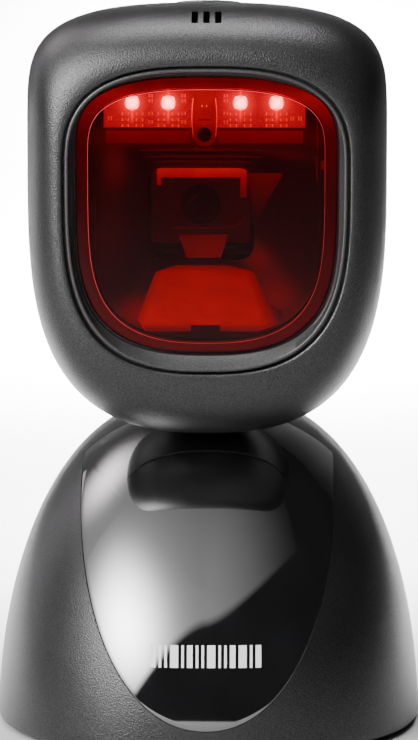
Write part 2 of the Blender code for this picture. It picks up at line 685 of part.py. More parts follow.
def make_imager_shroud():
    """A slab behind the window that carries the LED board, and a funnel back to the imager."""
    count = 40
    slab_share = (SHROUD_SLAB_Y - SHROUD_FRONT_Y) / (SHROUD_BACK_Y - SHROUD_FRONT_Y)
    wall = 1.6 * MM
    rings = [WINDOW.grown(1 * MM).ring(y, count) for y in (SHROUD_FRONT_Y, SHROUD_SLAB_Y)]
    mouth, throat = TUNNEL_MOUTH.grown(wall), TUNNEL_THROAT.grown(wall)
    rings.append(blend(mouth, throat, slab_share, SHROUD_SLAB_Y + 0.2 * MM, count))
    rings.append(blend(mouth, throat, 1, SHROUD_BACK_Y, count))
    shroud = loft("imager_shroud", rings)

    overrun = 0.06
    tunnel = []
    for share in (-overrun, 1 + overrun):
        y = SHROUD_FRONT_Y + (SHROUD_BACK_Y - SHROUD_FRONT_Y) * share
        tunnel.append(blend(TUNNEL_MOUTH, TUNNEL_THROAT, share, y, count))
    cut(shroud, loft("tunnel", tunnel, TOOLS))
    cut(shroud, plate("board_pocket", board_outline(0), -36 * MM, -27.8 * MM, TOOLS))
    low, high = (LAMP_SHIFT - 2.9 * MM, -36 * MM, 117 * MM), (LAMP_SHIFT + 2.9 * MM, -29.6 * MM, 123 * MM)
    cut(shroud, tool_block("clamp_notch", low, high))
    start, end = (LAMP_SHIFT, -32 * MM, CLAMP_SCREW_Z), (LAMP_SHIFT, -26.9 * MM, CLAMP_SCREW_Z)
    cut(shroud, tool_rod("clamp_pilot", start, end, 1.1 * MM))
    return finish(shroud, "black", "head")


LED_Z = 127.7 * MM
LED_PLACES = [(LAMP_SHIFT + x * MM, LED_Z) for x in (-14.2, -7.1, 7.1, 14.2)]


def make_led_board():
    board = plate("led_board", board_outline(0.4 * MM), -29.6 * MM, -28.4 * MM)
    finish(board, "board", "head")
    half = 1.5 * MM
    for i, (x, z) in enumerate(LED_PLACES):
        led = block(f"led_{i + 1}", (x - half, -31.0 * MM, z - half), (x + half, -29.9 * MM, z + half))
        finish(led, "led", "head")

    radius, steps, top_z = 2.4 * MM, 8, 130.6 * MM
    tab = []
    for i in range(steps + 1):
        angle = pi * i / steps
        tab.append((LAMP_SHIFT + radius * cos(angle), CLAMP_SCREW_Z - radius * sin(angle)))
    tab += [(LAMP_SHIFT - radius, top_z), (LAMP_SHIFT + radius, top_z)]
    clamp = plate("board_clamp", tab, -31.5 * MM, -29.9 * MM)
    start, end = (LAMP_SHIFT, -33 * MM, CLAMP_SCREW_Z), (LAMP_SHIFT, -28 * MM, CLAMP_SCREW_Z)
    finish(cut(clamp, tool_rod("clamp_hole", start, end, 1.1 * MM)), "ramp", "head")
    seat = (LAMP_SHIFT, -31.8 * MM, CLAMP_SCREW_Z)
    screw("clamp_screw", seat, (0, 1, 0), 1.4 * MM, 0.3 * MM, 0.8 * MM, 4.6 * MM, "head")


def tunnel_floor_z(y):
    share = (y - SHROUD_FRONT_Y) / (SHROUD_BACK_Y - SHROUD_FRONT_Y)
    front = TUNNEL_MOUTH.widest_z - TUNNEL_MOUTH.down
    back = TUNNEL_THROAT.widest_z - TUNNEL_THROAT.down
    return front + (back - front) * share


def make_diffuser_ramp():
    """The light-coloured plate on the tunnel's floor, with a clip notch in its front edge."""
    lift, thickness = 0.9 * MM, 0.7 * MM
    front_y, back_y, front_half, back_half = -30.6 * MM, -10.0 * MM, 15.0 * MM, 8.9 * MM
    rings = []
    for y, half in ((front_y, front_half), (back_y, back_half)):
        low = tunnel_floor_z(y) + lift
        high = low + thickness
        corners = [(-half, low), (half, low), (half, high), (-half, high)]
        rings.append([Vector((x, y, z)) for x, z in corners])
    ramp = loft("diffuser_ramp", rings)
    notch = tool_block("ramp_notch", (-2.9 * MM, -33 * MM, 78 * MM), (2.9 * MM, -28.4 * MM, 88 * MM))
    finish(cut(ramp, notch), "ramp", "head")

    half_top, half_bottom, half_stem = 5.0 * MM, 3.2 * MM, 1.5 * MM
    foot_z, low_z, high_z = 93.4 * MM, 95.1 * MM, 99.3 * MM
    right = [(half_stem, foot_z), (half_stem, low_z), (half_bottom, low_z), (half_top, high_z)]
    corners = [(IMAGER_SHIFT + x, z) for x, z in right]
    corners += [(IMAGER_SHIFT - x, z) for x, z in reversed(right)]
    finish(plate("light_baffle", corners, -8.6 * MM, -7.6 * MM), "ramp", "head")


def make_imager():
    """The camera module: its body, and a lens in a barrel that stands in the body's hood."""
    x = IMAGER_SHIFT
    housing = block("imager_housing", (x - 10 * MM, -4.2 * MM, 97 * MM), (x + 10 * MM, 7 * MM, 113 * MM))
    low, high = (x - 5.3 * MM, -8 * MM, 100.1 * MM), (x + 5.3 * MM, -0.5 * MM, 109.3 * MM)
    finish(cut(housing, tool_block("imager_hood", low, high)), "black", "head")
    barrel = rod("lens_barrel", (x, -3.4 * MM, LENS_Z), (x, -0.8 * MM, LENS_Z), 4 * MM)
    cut(barrel, tool_rod("lens_seat", (x, -6 * MM, LENS_Z), (x, -2.2 * MM, LENS_Z), 2.7 * MM, 20))
    finish(barrel, "black", "head")
    glass = rod("lens_glass", (x, -3.2 * MM, LENS_Z), (x, -2.5 * MM, LENS_Z), 2.4 * MM, 20)
    finish(glass, "lens", "head")


def make_main_board():
    board = block("main_board", (-16 * MM, 8 * MM, 97 * MM), (16 * MM, 9.6 * MM, 126 * MM))
    finish(board, "board", "head")
    connector = block("board_connector", (-5 * MM, 9.9 * MM, 97.6 * MM), (5 * MM, 13.2 * MM, 101.6 * MM))
    finish(connector, "white", "head")


def make_beeper():
    y, low_z, high_z = -22.5 * MM, 136.2 * MM, 140.2 * MM
    finish(rod("beeper", (0, y, low_z), (0, y, high_z), 5.5 * MM), "black", "head")


def make_head_screws():
    number = 1
    for x, z, floor_y in HEAD_SCREWS:
        for side in (-1, 1):
            seat = (side * x, floor_y + GAP, z)
            length = seat[1] + 29 * MM
            screw(f"head_screw_{number}", seat, (0, -1, 0), 2.6 * MM, 1.7 * MM, 1.4 * MM, length, "head")
            number += 1


# ---------------------------------------------------------------- button


def place_on_button(obj):
    """Moves a piece built about the button's own origin on to the sloping top of the head."""
    obj.matrix_basis = BODIES["button"].matrix_world @ obj.matrix_basis
    return obj


def make_button():
    """The oval cap on its stem, over a tactile switch on a small board."""
    sizes = [(5.8, 3.8, -0.1), (6.6, 4.6, 0.1), (6.6, 4.6, 0.35), (5.2, 3.3, 0.62), (2.4, 1.5, 0.72)]
    angles = [2 * pi * i / 32 for i in range(32)]
    rings = []
    for half_x, half_y, height in sizes:
        rings.append([Vector((half_x * cos(a), half_y * sin(a), height)) * MM for a in angles])
    cap = place_on_button(loft("button_cap", rings))
    stem = oval_plate("button_stem", 5 * MM, 3 * MM, -3.6 * MM, 0.3 * MM, TOOLS, 24)
    finish(join(cap, place_on_button(stem)), "bezel", "button")

    plunger = rod("switch_plunger", (0, 0, -6 * MM), (0, 0, -3.9 * MM), 1.6 * MM, 20)
    finish(place_on_button(plunger), "white", "button")

    switch = block("tact_switch", (-3 * MM, -3 * MM, -8 * MM), (3 * MM, 3 * MM, -5 * MM))
    well = tool_rod("switch_well", (0, 0, -6.9 * MM), (0, 0, -3 * MM), 1.95 * MM, 20)
    place_on_button(well)
    finish(cut(place_on_button(switch), well), "black", "head")
    board = block("switch_board", (-9 * MM, -4.6 * MM, -9.5 * MM), (9 * MM, 4.6 * MM, -8.3 * MM))
    finish(place_on_button(board), "board", "head")


def make_bodies():
    """One empty for each rigid body, standing on the axis that its body moves about."""
    places = {
        "base": Matrix.Identity(4),
        "head": Matrix.Translation((0, PIVOT_Y, PIVOT_Z)),
        "button": Matrix.Translation((0, BUTTON_Y, BUTTON_Z)) @ Matrix.Rotation(-BUTTON_LEAN, 4, "X"),
    }
    bodies = {}
    for name, place in places.items():
        bodies[name] = link(bpy.data.objects.new(f"{name}_body", None), PART)
        bodies[name].matrix_world = place
    return bodies


start_scene()
MATERIALS = make_materials()
BODIES = make_bodies()
bpy.context.view_layer.update()

make_base_housing()
make_front_panel()
make_base_plate()
make_anti_slip_pad()
make_ballast()
make_base_screws()
make_hinge_tower()
make_tilt_bracket()
make_tilt_pin()
make_interface_board()

make_front_housing()
make_rear_housing()
make_neck()
make_bezel_and_window()
make_imager_shroud()
make_led_board()
make_diffuser_ramp()
make_imager()
make_main_board()
make_beeper()
make_head_screws()

make_button()
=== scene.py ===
"""Looks for the presentation scanner: smooth shells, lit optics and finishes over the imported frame.

Shapes and patterns are in millimetres. The studio's lights and its camera are in metres.
"""

import json
from dataclasses import dataclass, replace
from math import asin, cos, e, pi, radians, sin

import bmesh
import bpy
from mathutils import Matrix, Vector


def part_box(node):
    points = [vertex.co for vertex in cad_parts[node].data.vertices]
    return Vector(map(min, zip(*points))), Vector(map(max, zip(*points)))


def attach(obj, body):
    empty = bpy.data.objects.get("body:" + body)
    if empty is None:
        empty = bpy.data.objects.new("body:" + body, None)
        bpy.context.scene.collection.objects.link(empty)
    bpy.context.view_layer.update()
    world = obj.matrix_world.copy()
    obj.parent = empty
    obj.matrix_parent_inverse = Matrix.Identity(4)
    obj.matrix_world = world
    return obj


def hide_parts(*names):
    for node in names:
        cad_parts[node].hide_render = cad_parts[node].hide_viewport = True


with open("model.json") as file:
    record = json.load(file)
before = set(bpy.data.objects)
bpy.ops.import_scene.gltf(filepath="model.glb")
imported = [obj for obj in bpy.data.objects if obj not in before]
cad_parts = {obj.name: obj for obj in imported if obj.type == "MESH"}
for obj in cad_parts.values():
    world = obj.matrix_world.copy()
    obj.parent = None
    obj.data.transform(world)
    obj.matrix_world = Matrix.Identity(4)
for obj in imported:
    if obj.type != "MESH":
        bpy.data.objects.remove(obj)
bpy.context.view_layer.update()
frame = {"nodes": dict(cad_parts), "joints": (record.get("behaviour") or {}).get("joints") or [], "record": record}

MM = 0.001  # metres


def box(node):
    """The low and high corners of a CAD node."""
    return [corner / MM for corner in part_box(node)]


def shift(x, y, z):
    return Matrix.Translation(Vector((x, y, z)) * MM)


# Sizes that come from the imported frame
FRONT_LOW, FRONT_HIGH = box("front_housing")
PANEL_LOW, PANEL_HIGH = box("front_panel")
SHROUD_LOW, SHROUD_HIGH = box("imager_shroud")
JACK_LOW, JACK_HIGH = box("cable_jack")
RIM_Z = box("base_housing")[0].z
REAR_FRONT_Y = box("rear_housing")[0].y
DRUM_HALF_WIDTH, _, NECK_TOP_Z = box("neck")[1]
JOINTS = {joint["name"]: joint for joint in frame["joints"]}
PIVOT = Vector(JOINTS["head_tilt"]["pos_m"]) / MM
BUTTON_AXIS = -Vector(JOINTS["button_press"]["axis"])

# Stand
GAP = 0.3
BASE_HALF_WIDTH = 43.0
BASE_HALF_DEPTH = 48.8
BELL_HEIGHT = 64.0
BELL_LEAN = 8.0
BELL_POWER = 2.54
OVAL_POWER = 2.5
BASE_WALL = 2.4
PANEL_THICKNESS = 1.2
PANEL_WIDEST_Z = 50.0
PANEL_POWER = 2.1
PANEL_STEPS = 224
DRUM_RADIUS = 12.2

# Head
FACE_Y = FRONT_LOW.y
PARTING_Y = FRONT_HIGH.y
WAIST_Y = -24.0
BACK_Y = 18.0
HEAD_WALL = 2.2
FACE_LAND = 0.5
PARTING_GROOVE = 0.35
NECK_HALF_WIDTH = 11.0
NECK_HALF_DEPTH = 5.5
HEAD_SCREWS = [(27.0, 132.0, -2.0), (27.5, 82.0, -8.0)]  # x, z and the y of the hole's floor
GRILLE_PITCH = 2.3
GRILLE_HALF = Vector((0.64, 6, 1.85))
GRILLE = shift(0, -31.5, 144) @ Matrix.Rotation(radians(-30), 4, "X")
BUTTON = shift(0, -7.0, 145.6) @ BUTTON_AXIS.to_track_quat("Z", "Y").to_matrix().to_4x4()

# Optics
BOARD_X = -0.45  # the lamps sit a little left of the head's middle
IMAGER_X = -1.6  # and so does the imager
LED_X = (-14.2, -7.1, 7.1, 14.2)
LED_Z = 127.7
LED_FRONT_Y = -31.0
SHELF_Z = 122.3
POCKET_HALF_WIDTH = 20.3
CLAMP_SCREW_Z = 121.5
LENS_Z = 104.7
RED = (1.0, 0.0, 0.2)


@dataclass(frozen=True)
class Outline:
    """A rounded outline in XZ: one superellipse above its widest level and another below."""

    half_width: float
    widest_z: float
    up: float
    down: float
    up_powers: tuple  # (sideways, upwards)
    down_powers: tuple  # (sideways, downwards)

    def grown(self, by):
        return replace(self, half_width=self.half_width + by, up=self.up + by, down=self.down + by)

    def scaled(self, side, up, down):
        return replace(self, half_width=self.half_width * side, up=self.up * up, down=self.down * down)

    def point(self, angle, y):
        along = sin(angle)
        side_power, end_power = self.up_powers if along >= 0 else self.down_powers
        reach = self.up if along >= 0 else self.down
        x = self.half_width * signed_power(cos(angle), 2 / side_power)
        return Vector((x, y, self.widest_z + reach * signed_power(along, 2 / end_power)))

    def ring(self, y, angles):
        return [self.point(angle, y) for angle in angles]


def signed_power(value, power):
    return (1 if value >= 0 else -1) * abs(value) ** power


def outline_of(node, widest_z, shrink, up_powers, down_powers):
    """The outline that a node's box shows, less a flange of that width."""
    low, high = box(node)
    up, down = high.z - shrink - widest_z, widest_z - low.z - shrink
    return Outline(high.x - shrink, widest_z, up, down, up_powers, down_powers)


HEAD = outline_of("front_housing", 116.8, 0, (2.7, 5.6), (2.6, 3.45))
OPENING = outline_of("bezel_ring", 115.5, 0.9, (2.8, 2.8), (2.6, 3.6))
WINDOW = outline_of("scan_window", 117.0, 0, (2.6, 3.6), (2.6, 4.6))
STEP = replace(WINDOW.grown(-2.4), down=WINDOW.down - 1.95)
TUNNEL_MOUTH = Outline(21.8, 105.0, 14.7, 24.2, (5, 6), (5, 8))
TUNNEL_THROAT = Outline(10.8, 103.0, 9.8, 9.4, (6, 6), (6, 8))


def quarter(*degrees):
    """Points of a quarter round of radius 1: how far out, and how far down from its top."""
    return [(sin(radians(angle)), 1 - cos(radians(angle))) for angle in degrees]


def turns(count):
    """The directions of a circle's points."""
    return [2 * pi * i / count for i in range(count)]


def even_steps(points, count):
    """Stops that lie evenly along a run of points: an index, and the share of the way to the next."""
    lengths = [0.0]
    for a, b in zip(points, points[1:]):
        lengths.append(lengths[-1] + (b - a).length)
    stops, k = [], 0
    for i in range(count):
        target = lengths[-1] * i / count
        while lengths[k + 1] < target:
            k += 1
        stops.append((k, (target - lengths[k]) / (lengths[k + 1] - lengths[k])))
    return stops


def even_angles(point_at, count, samples=400):
    """Angles at which a closed curve's points lie evenly along it. The samples crowd at its four corners."""
    angles = []
    for side in range(4):
        for i in range(samples):
            t = i / samples
            angles.append((side + t**3 * (10 - 15 * t + 6 * t * t)) * pi / 2)
    angles.append(2 * pi)
    points = [point_at(angle) for angle in angles]
    return [angles[k] + (angles[k + 1] - angles[k]) * share for k, share in even_steps(points, count)]


def even(outline, count):
    return even_angles(lambda angle: outline.point(angle, 0), count)


# ---------------------------------------------------------------- mesh tools


def from_bmesh(name, bm, sharp=35, scale=MM):
    bm.transform(Matrix.Scale(scale, 4))
    mesh = bpy.data.meshes.new(name)
    bm.to_mesh(mesh)
    bm.free()
    obj = bpy.data.objects.new(name, mesh)
    bpy.context.scene.collection.objects.link(obj)
    return shade(obj, sharp)


def shade(obj, sharp=35):
    obj.data.shade_smooth()
    obj.data.set_sharp_from_angle(angle=radians(sharp))
    return obj


def loft(name, rings, closed_loop=False, sharp=35):
    """A skin over rings of equal count: capped at both ends, or joined end to start."""
    bm = bmesh.new()
    rows = [[bm.verts.new(point) for point in ring] for ring in rings]
    pairs = list(zip(rows, rows[1:]))
    if closed_loop:
        pairs.append((rows[-1], rows[0]))
    else:
        bm.faces.new(rows[0])
        bm.faces.new(rows[-1])
    for first, second in pairs:
        for i in range(len(first)):
            j = (i + 1) % len(first)
            bm.faces.new((first[i], first[j], second[j], second[i]))
    bmesh.ops.recalc_face_normals(bm, faces=bm.faces)
    return from_bmesh(name, bm, sharp)


def block(name, low, high, rounding=0.0, segments=2):
    """A box between two corners, its edges rounded."""
    low, high = Vector(low), Vector(high)
    bm = bmesh.new()
    place = Matrix.Translation((low + high) / 2) @ Matrix.Diagonal((*(high - low), 1))
    bmesh.ops.create_cube(bm, size=1, matrix=place)
    if rounding:
        bmesh.ops.bevel(
            bm,
            geom=bm.edges[:],
            offset=rounding,
            segments=segments,
            profile=0.5,
            affect="EDGES",
            clamp_overlap=True,
        )
    return from_bmesh(name, bm)


def turned(name, start, direction, profile, segments=48):
    """A closed solid turned about a line. The profile lists (distance along, radius)."""
    turn = Vector(direction).to_track_quat("Z", "Y").to_matrix()
    rings = []
    for along, radius in profile:
        ring = [Vector((radius * cos(angle), radius * sin(angle), along)) for angle in turns(segments)]
        rings.append([Vector(start) + turn @ point for point in ring])
    return loft(name, rings)


def peg(name, start, radius, length, segments=48):
    """A plain cylinder along Y."""
    return turned(name, start, (0, 1, 0), [(0, radius), (length, radius)], segments)


def wire(name, points, radius, sides=6):
    """A thin straight-sided bar through some points."""
    rim = [Vector((radius * cos(angle), 0, radius * sin(angle))) for angle in turns(sides)]
    return loft(name, [[Vector(point) + out for out in rim] for point in points])


def plate(name, corners, faces, middle=(0, 0)):
    """A flat plate with (x, z) corners about a middle. Faces lists (y, scale), from the front back."""
    x0, z0 = middle
    rings = [[Vector((x0 + x * scale, y, z0 + z * scale)) for x, z in corners] for y, scale in faces]
    return loft(name, rings)


def swept(name, section, count):
    """A closed section of (outline, growth, y) carried round the outline."""
    angles = even(section[0][0].grown(section[0][1]), count)
    rings = [outline.grown(growth).ring(y, angles) for outline, growth, y in section]
    return loft(name, rings, closed_loop=True)


def joined(name, pieces):
    """Several meshes as one object. They are closed bodies of their own."""
    bm = bmesh.new()
    for piece in pieces:
        bm.from_mesh(piece.data)
        bpy.data.objects.remove(piece)
    return from_bmesh(name, bm, scale=1)


def combine(obj, other, operation):
    """Applies a Boolean with another object, which is used up."""
    modifier = obj.modifiers.new("combine", "BOOLEAN")
    modifier.operation = operation
    modifier.solver = "EXACT"
    modifier.object = other
    graph = bpy.context.evaluated_depsgraph_get()
    made = bpy.data.meshes.new_from_object(obj.evaluated_get(graph))
    obj.modifiers.clear()
    obj.data = made
    bpy.data.objects.remove(other)
    return shade(obj)


def carve(obj, *cutters):
    for cutter in cutters:
        combine(obj, cutter, "DIFFERENCE")
    return obj


def moved(obj, matrix):
    obj.data.transform(matrix)
    return obj


def wear(obj, body, finish, *nodes, slot=None):
    """The piece's body, its finish, the CAD nodes that it stands for, and its slot where that differs. The slot is
    not used.
    """
    obj.data.materials.clear()
    obj.data.materials.append(FINISHES.get(finish, finish))
    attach(obj, body)
    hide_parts(*nodes)
    return obj


def lit(obj, slot, look, colour, levels, *nodes, roughness=0.5, tint=RED):
    """A piece inside the head that shines in the lamps' light."""
    return wear(obj, "head", lit_part(look, colour, levels, roughness, tint), *nodes, slot=slot)


# ---------------------------------------------------------------- finishes


class Nodes:
    """A node tree, built node by node."""

    def __init__(self, tree):
        self.tree = tree

    def node(self, kind, **settings):
        made = self.tree.nodes.new(kind)
        for key, value in settings.items():
            setattr(made, key, value)
        return made

    def feed(self, socket, value):
        if isinstance(value, bpy.types.NodeSocket):
            self.tree.links.new(value, socket)
        else:
            socket.default_value = value

    def made(self, kind, *values, **settings):
        """A node's first output, with its inputs fed in order."""
        made = self.node(kind, **settings)
        for socket, value in zip(made.inputs, values):
            self.feed(socket, value)
        return made.outputs[0]

    def math(self, operation, *values, clamp=False):
        return self.made("ShaderNodeMath", *values, operation=operation, use_clamp=clamp)

    def plus(self, a, b):
        return self.math("ADD", a, b)

    def minus(self, a, b):
        return self.math("SUBTRACT", a, b)

    def times(self, a, b):
        return self.math("MULTIPLY", a, b)

    def over(self, a, b, clamp=False):
        return self.math("DIVIDE", a, b, clamp=clamp)

    def apart(self, a, b):
        return self.math("ABSOLUTE", self.minus(a, b))

    def decay(self, value):
        """e to the power of minus the value."""
        return self.math("POWER", e, self.times(value, -1.0))

    def along(self, vector, start, direction):
        """How far a vector reaches from a start along a direction."""
        offset = self.made("ShaderNodeVectorMath", vector, start, operation="SUBTRACT")
        reach = self.node("ShaderNodeVectorMath", operation="DOT_PRODUCT")
        self.feed(reach.inputs[0], offset)
        self.feed(reach.inputs[1], direction)
        return reach.outputs["Value"]


class Shader(Nodes):
    """One Principled material."""

    def __init__(self, name):
        self.material = bpy.data.materials.new(name)
        self.material.use_nodes = True
        super().__init__(self.material.node_tree)
        self.surface = self.tree.nodes["Principled BSDF"]

    def put(self, **inputs):
        """Feeds the surface's inputs, each named with _ for a space."""
        for name, value in inputs.items():
            self.feed(self.surface.inputs[name.replace("_", " ")], value)
        return self.material

    def see_through(self, share, colour=(1, 1, 1, 1)):
        """Shows the surface by that share over a clear one of that colour."""
        clear = self.made("ShaderNodeBsdfTransparent", colour)
        both = self.made("ShaderNodeMixShader", share, clear, self.surface.outputs[0])
        self.feed(self.tree.nodes["Material Output"].inputs["Surface"], both)

    def place(self, stretch=(1, 1, 1)):
        mapping = self.node("ShaderNodeMapping")
        self.feed(mapping.inputs["Vector"], self.node("ShaderNodeTexCoord").outputs["Object"])
        mapping.inputs["Scale"].default_value = [share / MM for share in stretch]
        return mapping.outputs[0]

    def axes(self):
        made = self.node("ShaderNodeSeparateXYZ")
        self.feed(made.inputs[0], self.place())
        return made.outputs

    def texture(self, kind, size, stretch=(1, 1, 1)):
        made = self.node(kind)
        self.feed(made.inputs["Vector"], self.place(stretch))
        made.inputs["Scale"].default_value = 1 / size
        return made

    def noise(self, size, detail=2.0, stretch=(1, 1, 1)):
        made = self.texture("ShaderNodeTexNoise", size, stretch)
        made.inputs["Detail"].default_value = detail
        return made.outputs["Fac"]

    def cells(self, size):
        return self.texture("ShaderNodeTexVoronoi", size).outputs["Distance"]

    def span(self, value, low, high, to_low=0.0, to_high=1.0):
        return self.made("ShaderNodeMapRange", value, low, high, to_low, to_high, clamp=True)

    def mix(self, share, first, second):
        made = self.node("ShaderNodeMix", data_type="RGBA")
        self.feed(made.inputs["Factor"], share)
        for side, colour in (("A", first), ("B", second)):
            self.feed(made.inputs[side], (*colour, 1) if isinstance(colour, tuple) else colour)
        return made.outputs["Result"]

    def bump(self, height, depth):
        made = self.node("ShaderNodeBump")
        made.inputs["Distance"].default_value = depth * MM
        self.feed(made.inputs["Height"], height)
        return made.outputs[0]


def tinted(colour, factor):
    return tuple(min(1.0, channel * factor) for channel in colour)


def moulded(name, colour, roughness, grain=0.32, depth=0.02, mottle=0.3):
    """Spark-eroded moulded plastic: a fine grain, a slow drift in sheen, and a trace of dust."""
    s = Shader(name)
    fine = s.noise(grain, 3)
    pits = s.cells(grain * 1.3)
    drift = s.noise(16, 3)
    grainy = s.plus(s.times(fine, 0.7), s.times(drift, 0.3))
    tone = s.mix(s.span(grainy, 0.32, 0.68), tinted(colour, 1 - mottle), tinted(colour, 1 + mottle))
    dust = s.span(s.noise(0.12, 1), 0.74, 0.8, 0.0, 0.35)
    uneven = s.math("MULTIPLY_ADD", s.minus(drift, 0.5), 0.16, roughness)
    height = s.minus(s.times(pits, 0.8), s.times(fine, 0.6))
    return s.put(
        Base_Color=s.mix(dust, tone, tinted(colour, 2.2)),
        Roughness=s.math("MULTIPLY_ADD", s.minus(fine, 0.5), 0.12, uneven),
        Specular_IOR_Level=s.span(fine, 0.3, 0.7, 0.3, 0.8),
        Normal=s.bump(height, depth),
    )


def gloss_black(name):
    """Polished black plastic with faint wiping marks and moulding ripple."""
    s = Shader(name)
    wipe = s.noise(9, 4, (1, 1, 0.25))
    hairs = s.span(s.noise(0.5, 2, (1, 1, 0.06)), 0.62, 0.75)
    return s.put(
        Base_Color=s.mix(s.span(wipe, 0.35, 0.7), (0.003, 0.003, 0.0032), (0.006, 0.006, 0.0066)),
        Roughness=s.math("MULTIPLY_ADD", hairs, 0.04, s.span(wipe, 0.3, 0.75, 0.03, 0.06)),
        Normal=s.bump(s.noise(11, 2), 0.012),
        IOR=2.0,
        Coat_Weight=1.0,
        Coat_IOR=2.0,
        Coat_Roughness=0.02,
    )


def red_window(name):
    """Clear red plastic: it tints what is behind it and mirrors the room faintly."""
    s = Shader(name)
    smear = s.noise(7, 3, (1, 1, 0.4))
    mirrored = s.plus(s.made("ShaderNodeFresnel", 1.5), 0.11)
    s.see_through(mirrored, s.mix(s.span(smear, 0.3, 0.7), (0.83, 0.07, 0.15), (0.8, 0.06, 0.13)))
    return s.put(
        Base_Color=(0.02, 0.004, 0.005, 1),
        IOR=1.6,
        Roughness=s.span(smear, 0.3, 0.75, 0.05, 0.12),
        Normal=s.bump(s.noise(14, 1), 0.01),
    )


def lamp_glow(s, reach, floor=0.0, upright=1.0):
    """How near a point is to the row of lamps, from the floor value to 1. Below 1, upright draws it out."""
    axes = s.axes()
    aside = s.apart(axes[0], BOARD_X)
    inner, outer = (s.apart(aside, x) for x in LED_X[2:])
    height = s.times(s.minus(axes[2], LED_Z), upright)
    squares = (s.math("POWER", side, 2.0) for side in (s.math("MINIMUM", inner, outer), height))
    distance = s.math("SQRT", s.plus(*squares))
    return s.span(s.decay(s.over(distance, reach)), 0, 1, floor, 1)


def copper_tracks(s, size, bare):
    """Winding tracks under a board's solder mask. Bare is the share left between them."""
    return s.span(s.math("SINE", s.times(s.noise(size, 0), 60.0)), bare, bare + 0.2)


def lit_board(name):
    """Solder-masked board flooded by its own lamps."""
    s = Shader(name)
    glow = lamp_glow(s, 3.2, 0.36)
    weave, tracks = s.noise(0.5, 2, (1, 1, 2.5)), copper_tracks(s, 3.2, 0.75)
    detail = s.plus(weave, s.times(tracks, 0.2))
    return s.put(
        Base_Color=s.mix(tracks, (0.06, 0.03, 0.02), (0.16, 0.07, 0.04)),
        Roughness=s.span(weave, 0.3, 0.7, 0.35, 0.6),
        Emission_Color=s.mix(glow, (1.0, 0.0, 0.5), (1.0, 0.02, 0.6)),
        Emission_Strength=s.times(glow, s.span(detail, 0.2, 1.0, 1.5, 2.6)),
        Normal=s.bump(s.plus(tracks, weave), 0.02),
    )


def lit_part(name, colour, levels, roughness, tint):
    """A part inside, lit red. Levels pairs heights with brightness, from the lowest up."""
    s = Shader(name)
    z = s.axes()[2]
    patchy = s.noise(5, 3)
    grain = s.noise(0.4, 3)
    level = levels[0][1]
    for (low_z, _), (high_z, brightness) in zip(levels, levels[1:]):
        level = s.span(z, low_z, high_z, level, brightness)
    return s.put(
        Base_Color=s.mix(grain, tinted(colour, 0.7), tinted(colour, 1.3)),
        Roughness=s.span(patchy, 0.3, 0.7, roughness - 0.08, roughness + 0.12),
        Specular_IOR_Level=0.2,
        Emission_Color=(*tint, 1),
        Emission_Strength=s.times(level, s.span(patchy, 0.25, 0.75, 0.8, 1.2)),
        Normal=s.bump(grain, 0.015),
    )


def patch(s, axes, place, size):
    """A soft round patch at (x, z) with half-widths (x, z), 1 in its middle."""
    squares = []
    for axis, middle, half in zip((axes[0], axes[2]), place, size):
        share = s.over(s.minus(axis, middle), half)
        squares.append(s.times(share, share))
    return s.decay(s.plus(*squares))


def lit_carrier(name):
    """Black plastic with the lamps' red light spilling over it in soft patches."""
    patches = [  # x and z, half-widths and brightness
        ((-18.3, 115.0), (2.2, 4.5), 0.13),
        ((-19.5, 103.0), (3.5, 9.0), 0.03),
        ((-13.5, 85.0), (4.5, 2.6), 0.3),
        ((13.5, 88.0), (4.5, 4.0), 0.25),
        ((10.0, 94.5), (3.0, 2.6), 0.2),
        ((16.0, 117.0), (5.0, 1.2), 0.07),
        ((0.0, 121.0), (26.0, 2.2), 0.14),
    ]
    s = Shader(name)
    axes = s.axes()
    grain = s.noise(0.4, 3)
    level = s.span(s.noise(9, 3), 0.3, 0.7, 0.004, 0.014)
    for place, size, brightness in patches:
        level = s.math("MULTIPLY_ADD", patch(s, axes, place, size), brightness, level)
    return s.put(
        Base_Color=s.mix(grain, (0.014, 0.01, 0.011), (0.026, 0.016, 0.017)),
        Roughness=s.span(grain, 0.3, 0.7, 0.5, 0.7),
        Specular_IOR_Level=0.2,
        Emission_Color=(1.0, 0.0, 0.1, 1),
        Emission_Strength=level,
        Normal=s.bump(grain, 0.015),
    )


def lit_ramp(name):
    """The pale floor plate where the lamps' light lands: bright in front, dull behind and at its sides."""
    s = Shader(name)
    axes = s.axes()
    depth = s.span(axes[1], -30.6, -9.6)
    half = s.span(depth, 0, 1, 15.5, 10.5)
    aside = s.over(s.apart(axes[0], -0.8), half)
    edges = s.times(s.span(aside, 1.02, 0.76), s.span(depth, 1.0, 0.88))
    edges = s.times(edges, s.span(depth, 0.0, 0.06, 0.3, 1.0))
    patchy = s.noise(6, 2)
    level = s.times(s.span(depth, 0, 1, 0.76, 0.52), s.span(patchy, 0.3, 0.7, 0.85, 1.15))
    return s.put(
        Base_Color=s.mix(s.noise(0.5, 2), (0.14, 0.04, 0.04), (0.18, 0.05, 0.05)),
        Roughness=s.span(patchy, 0.3, 0.7, 0.4, 0.6),
        Emission_Color=(1.0, 0.0, 0.1, 1),
        Emission_Strength=s.times(level, s.span(edges, 0, 1, 0.08, 1.0)),
        Normal=s.bump(s.noise(0.4, 2), 0.02),
    )


def lamp(name):
    """The lit face of a lamp."""
    s = Shader(name)
    ripple = s.noise(0.8, 1)
    return s.put(
        Base_Color=(0.9, 0.75, 0.7, 1),
        Roughness=s.span(ripple, 0.3, 0.7, 0.2, 0.35),
        Emission_Color=(0.55, 1.0, 0.8, 1),
        Emission_Strength=s.span(ripple, 0.2, 0.8, 75.0, 100.0),
    )


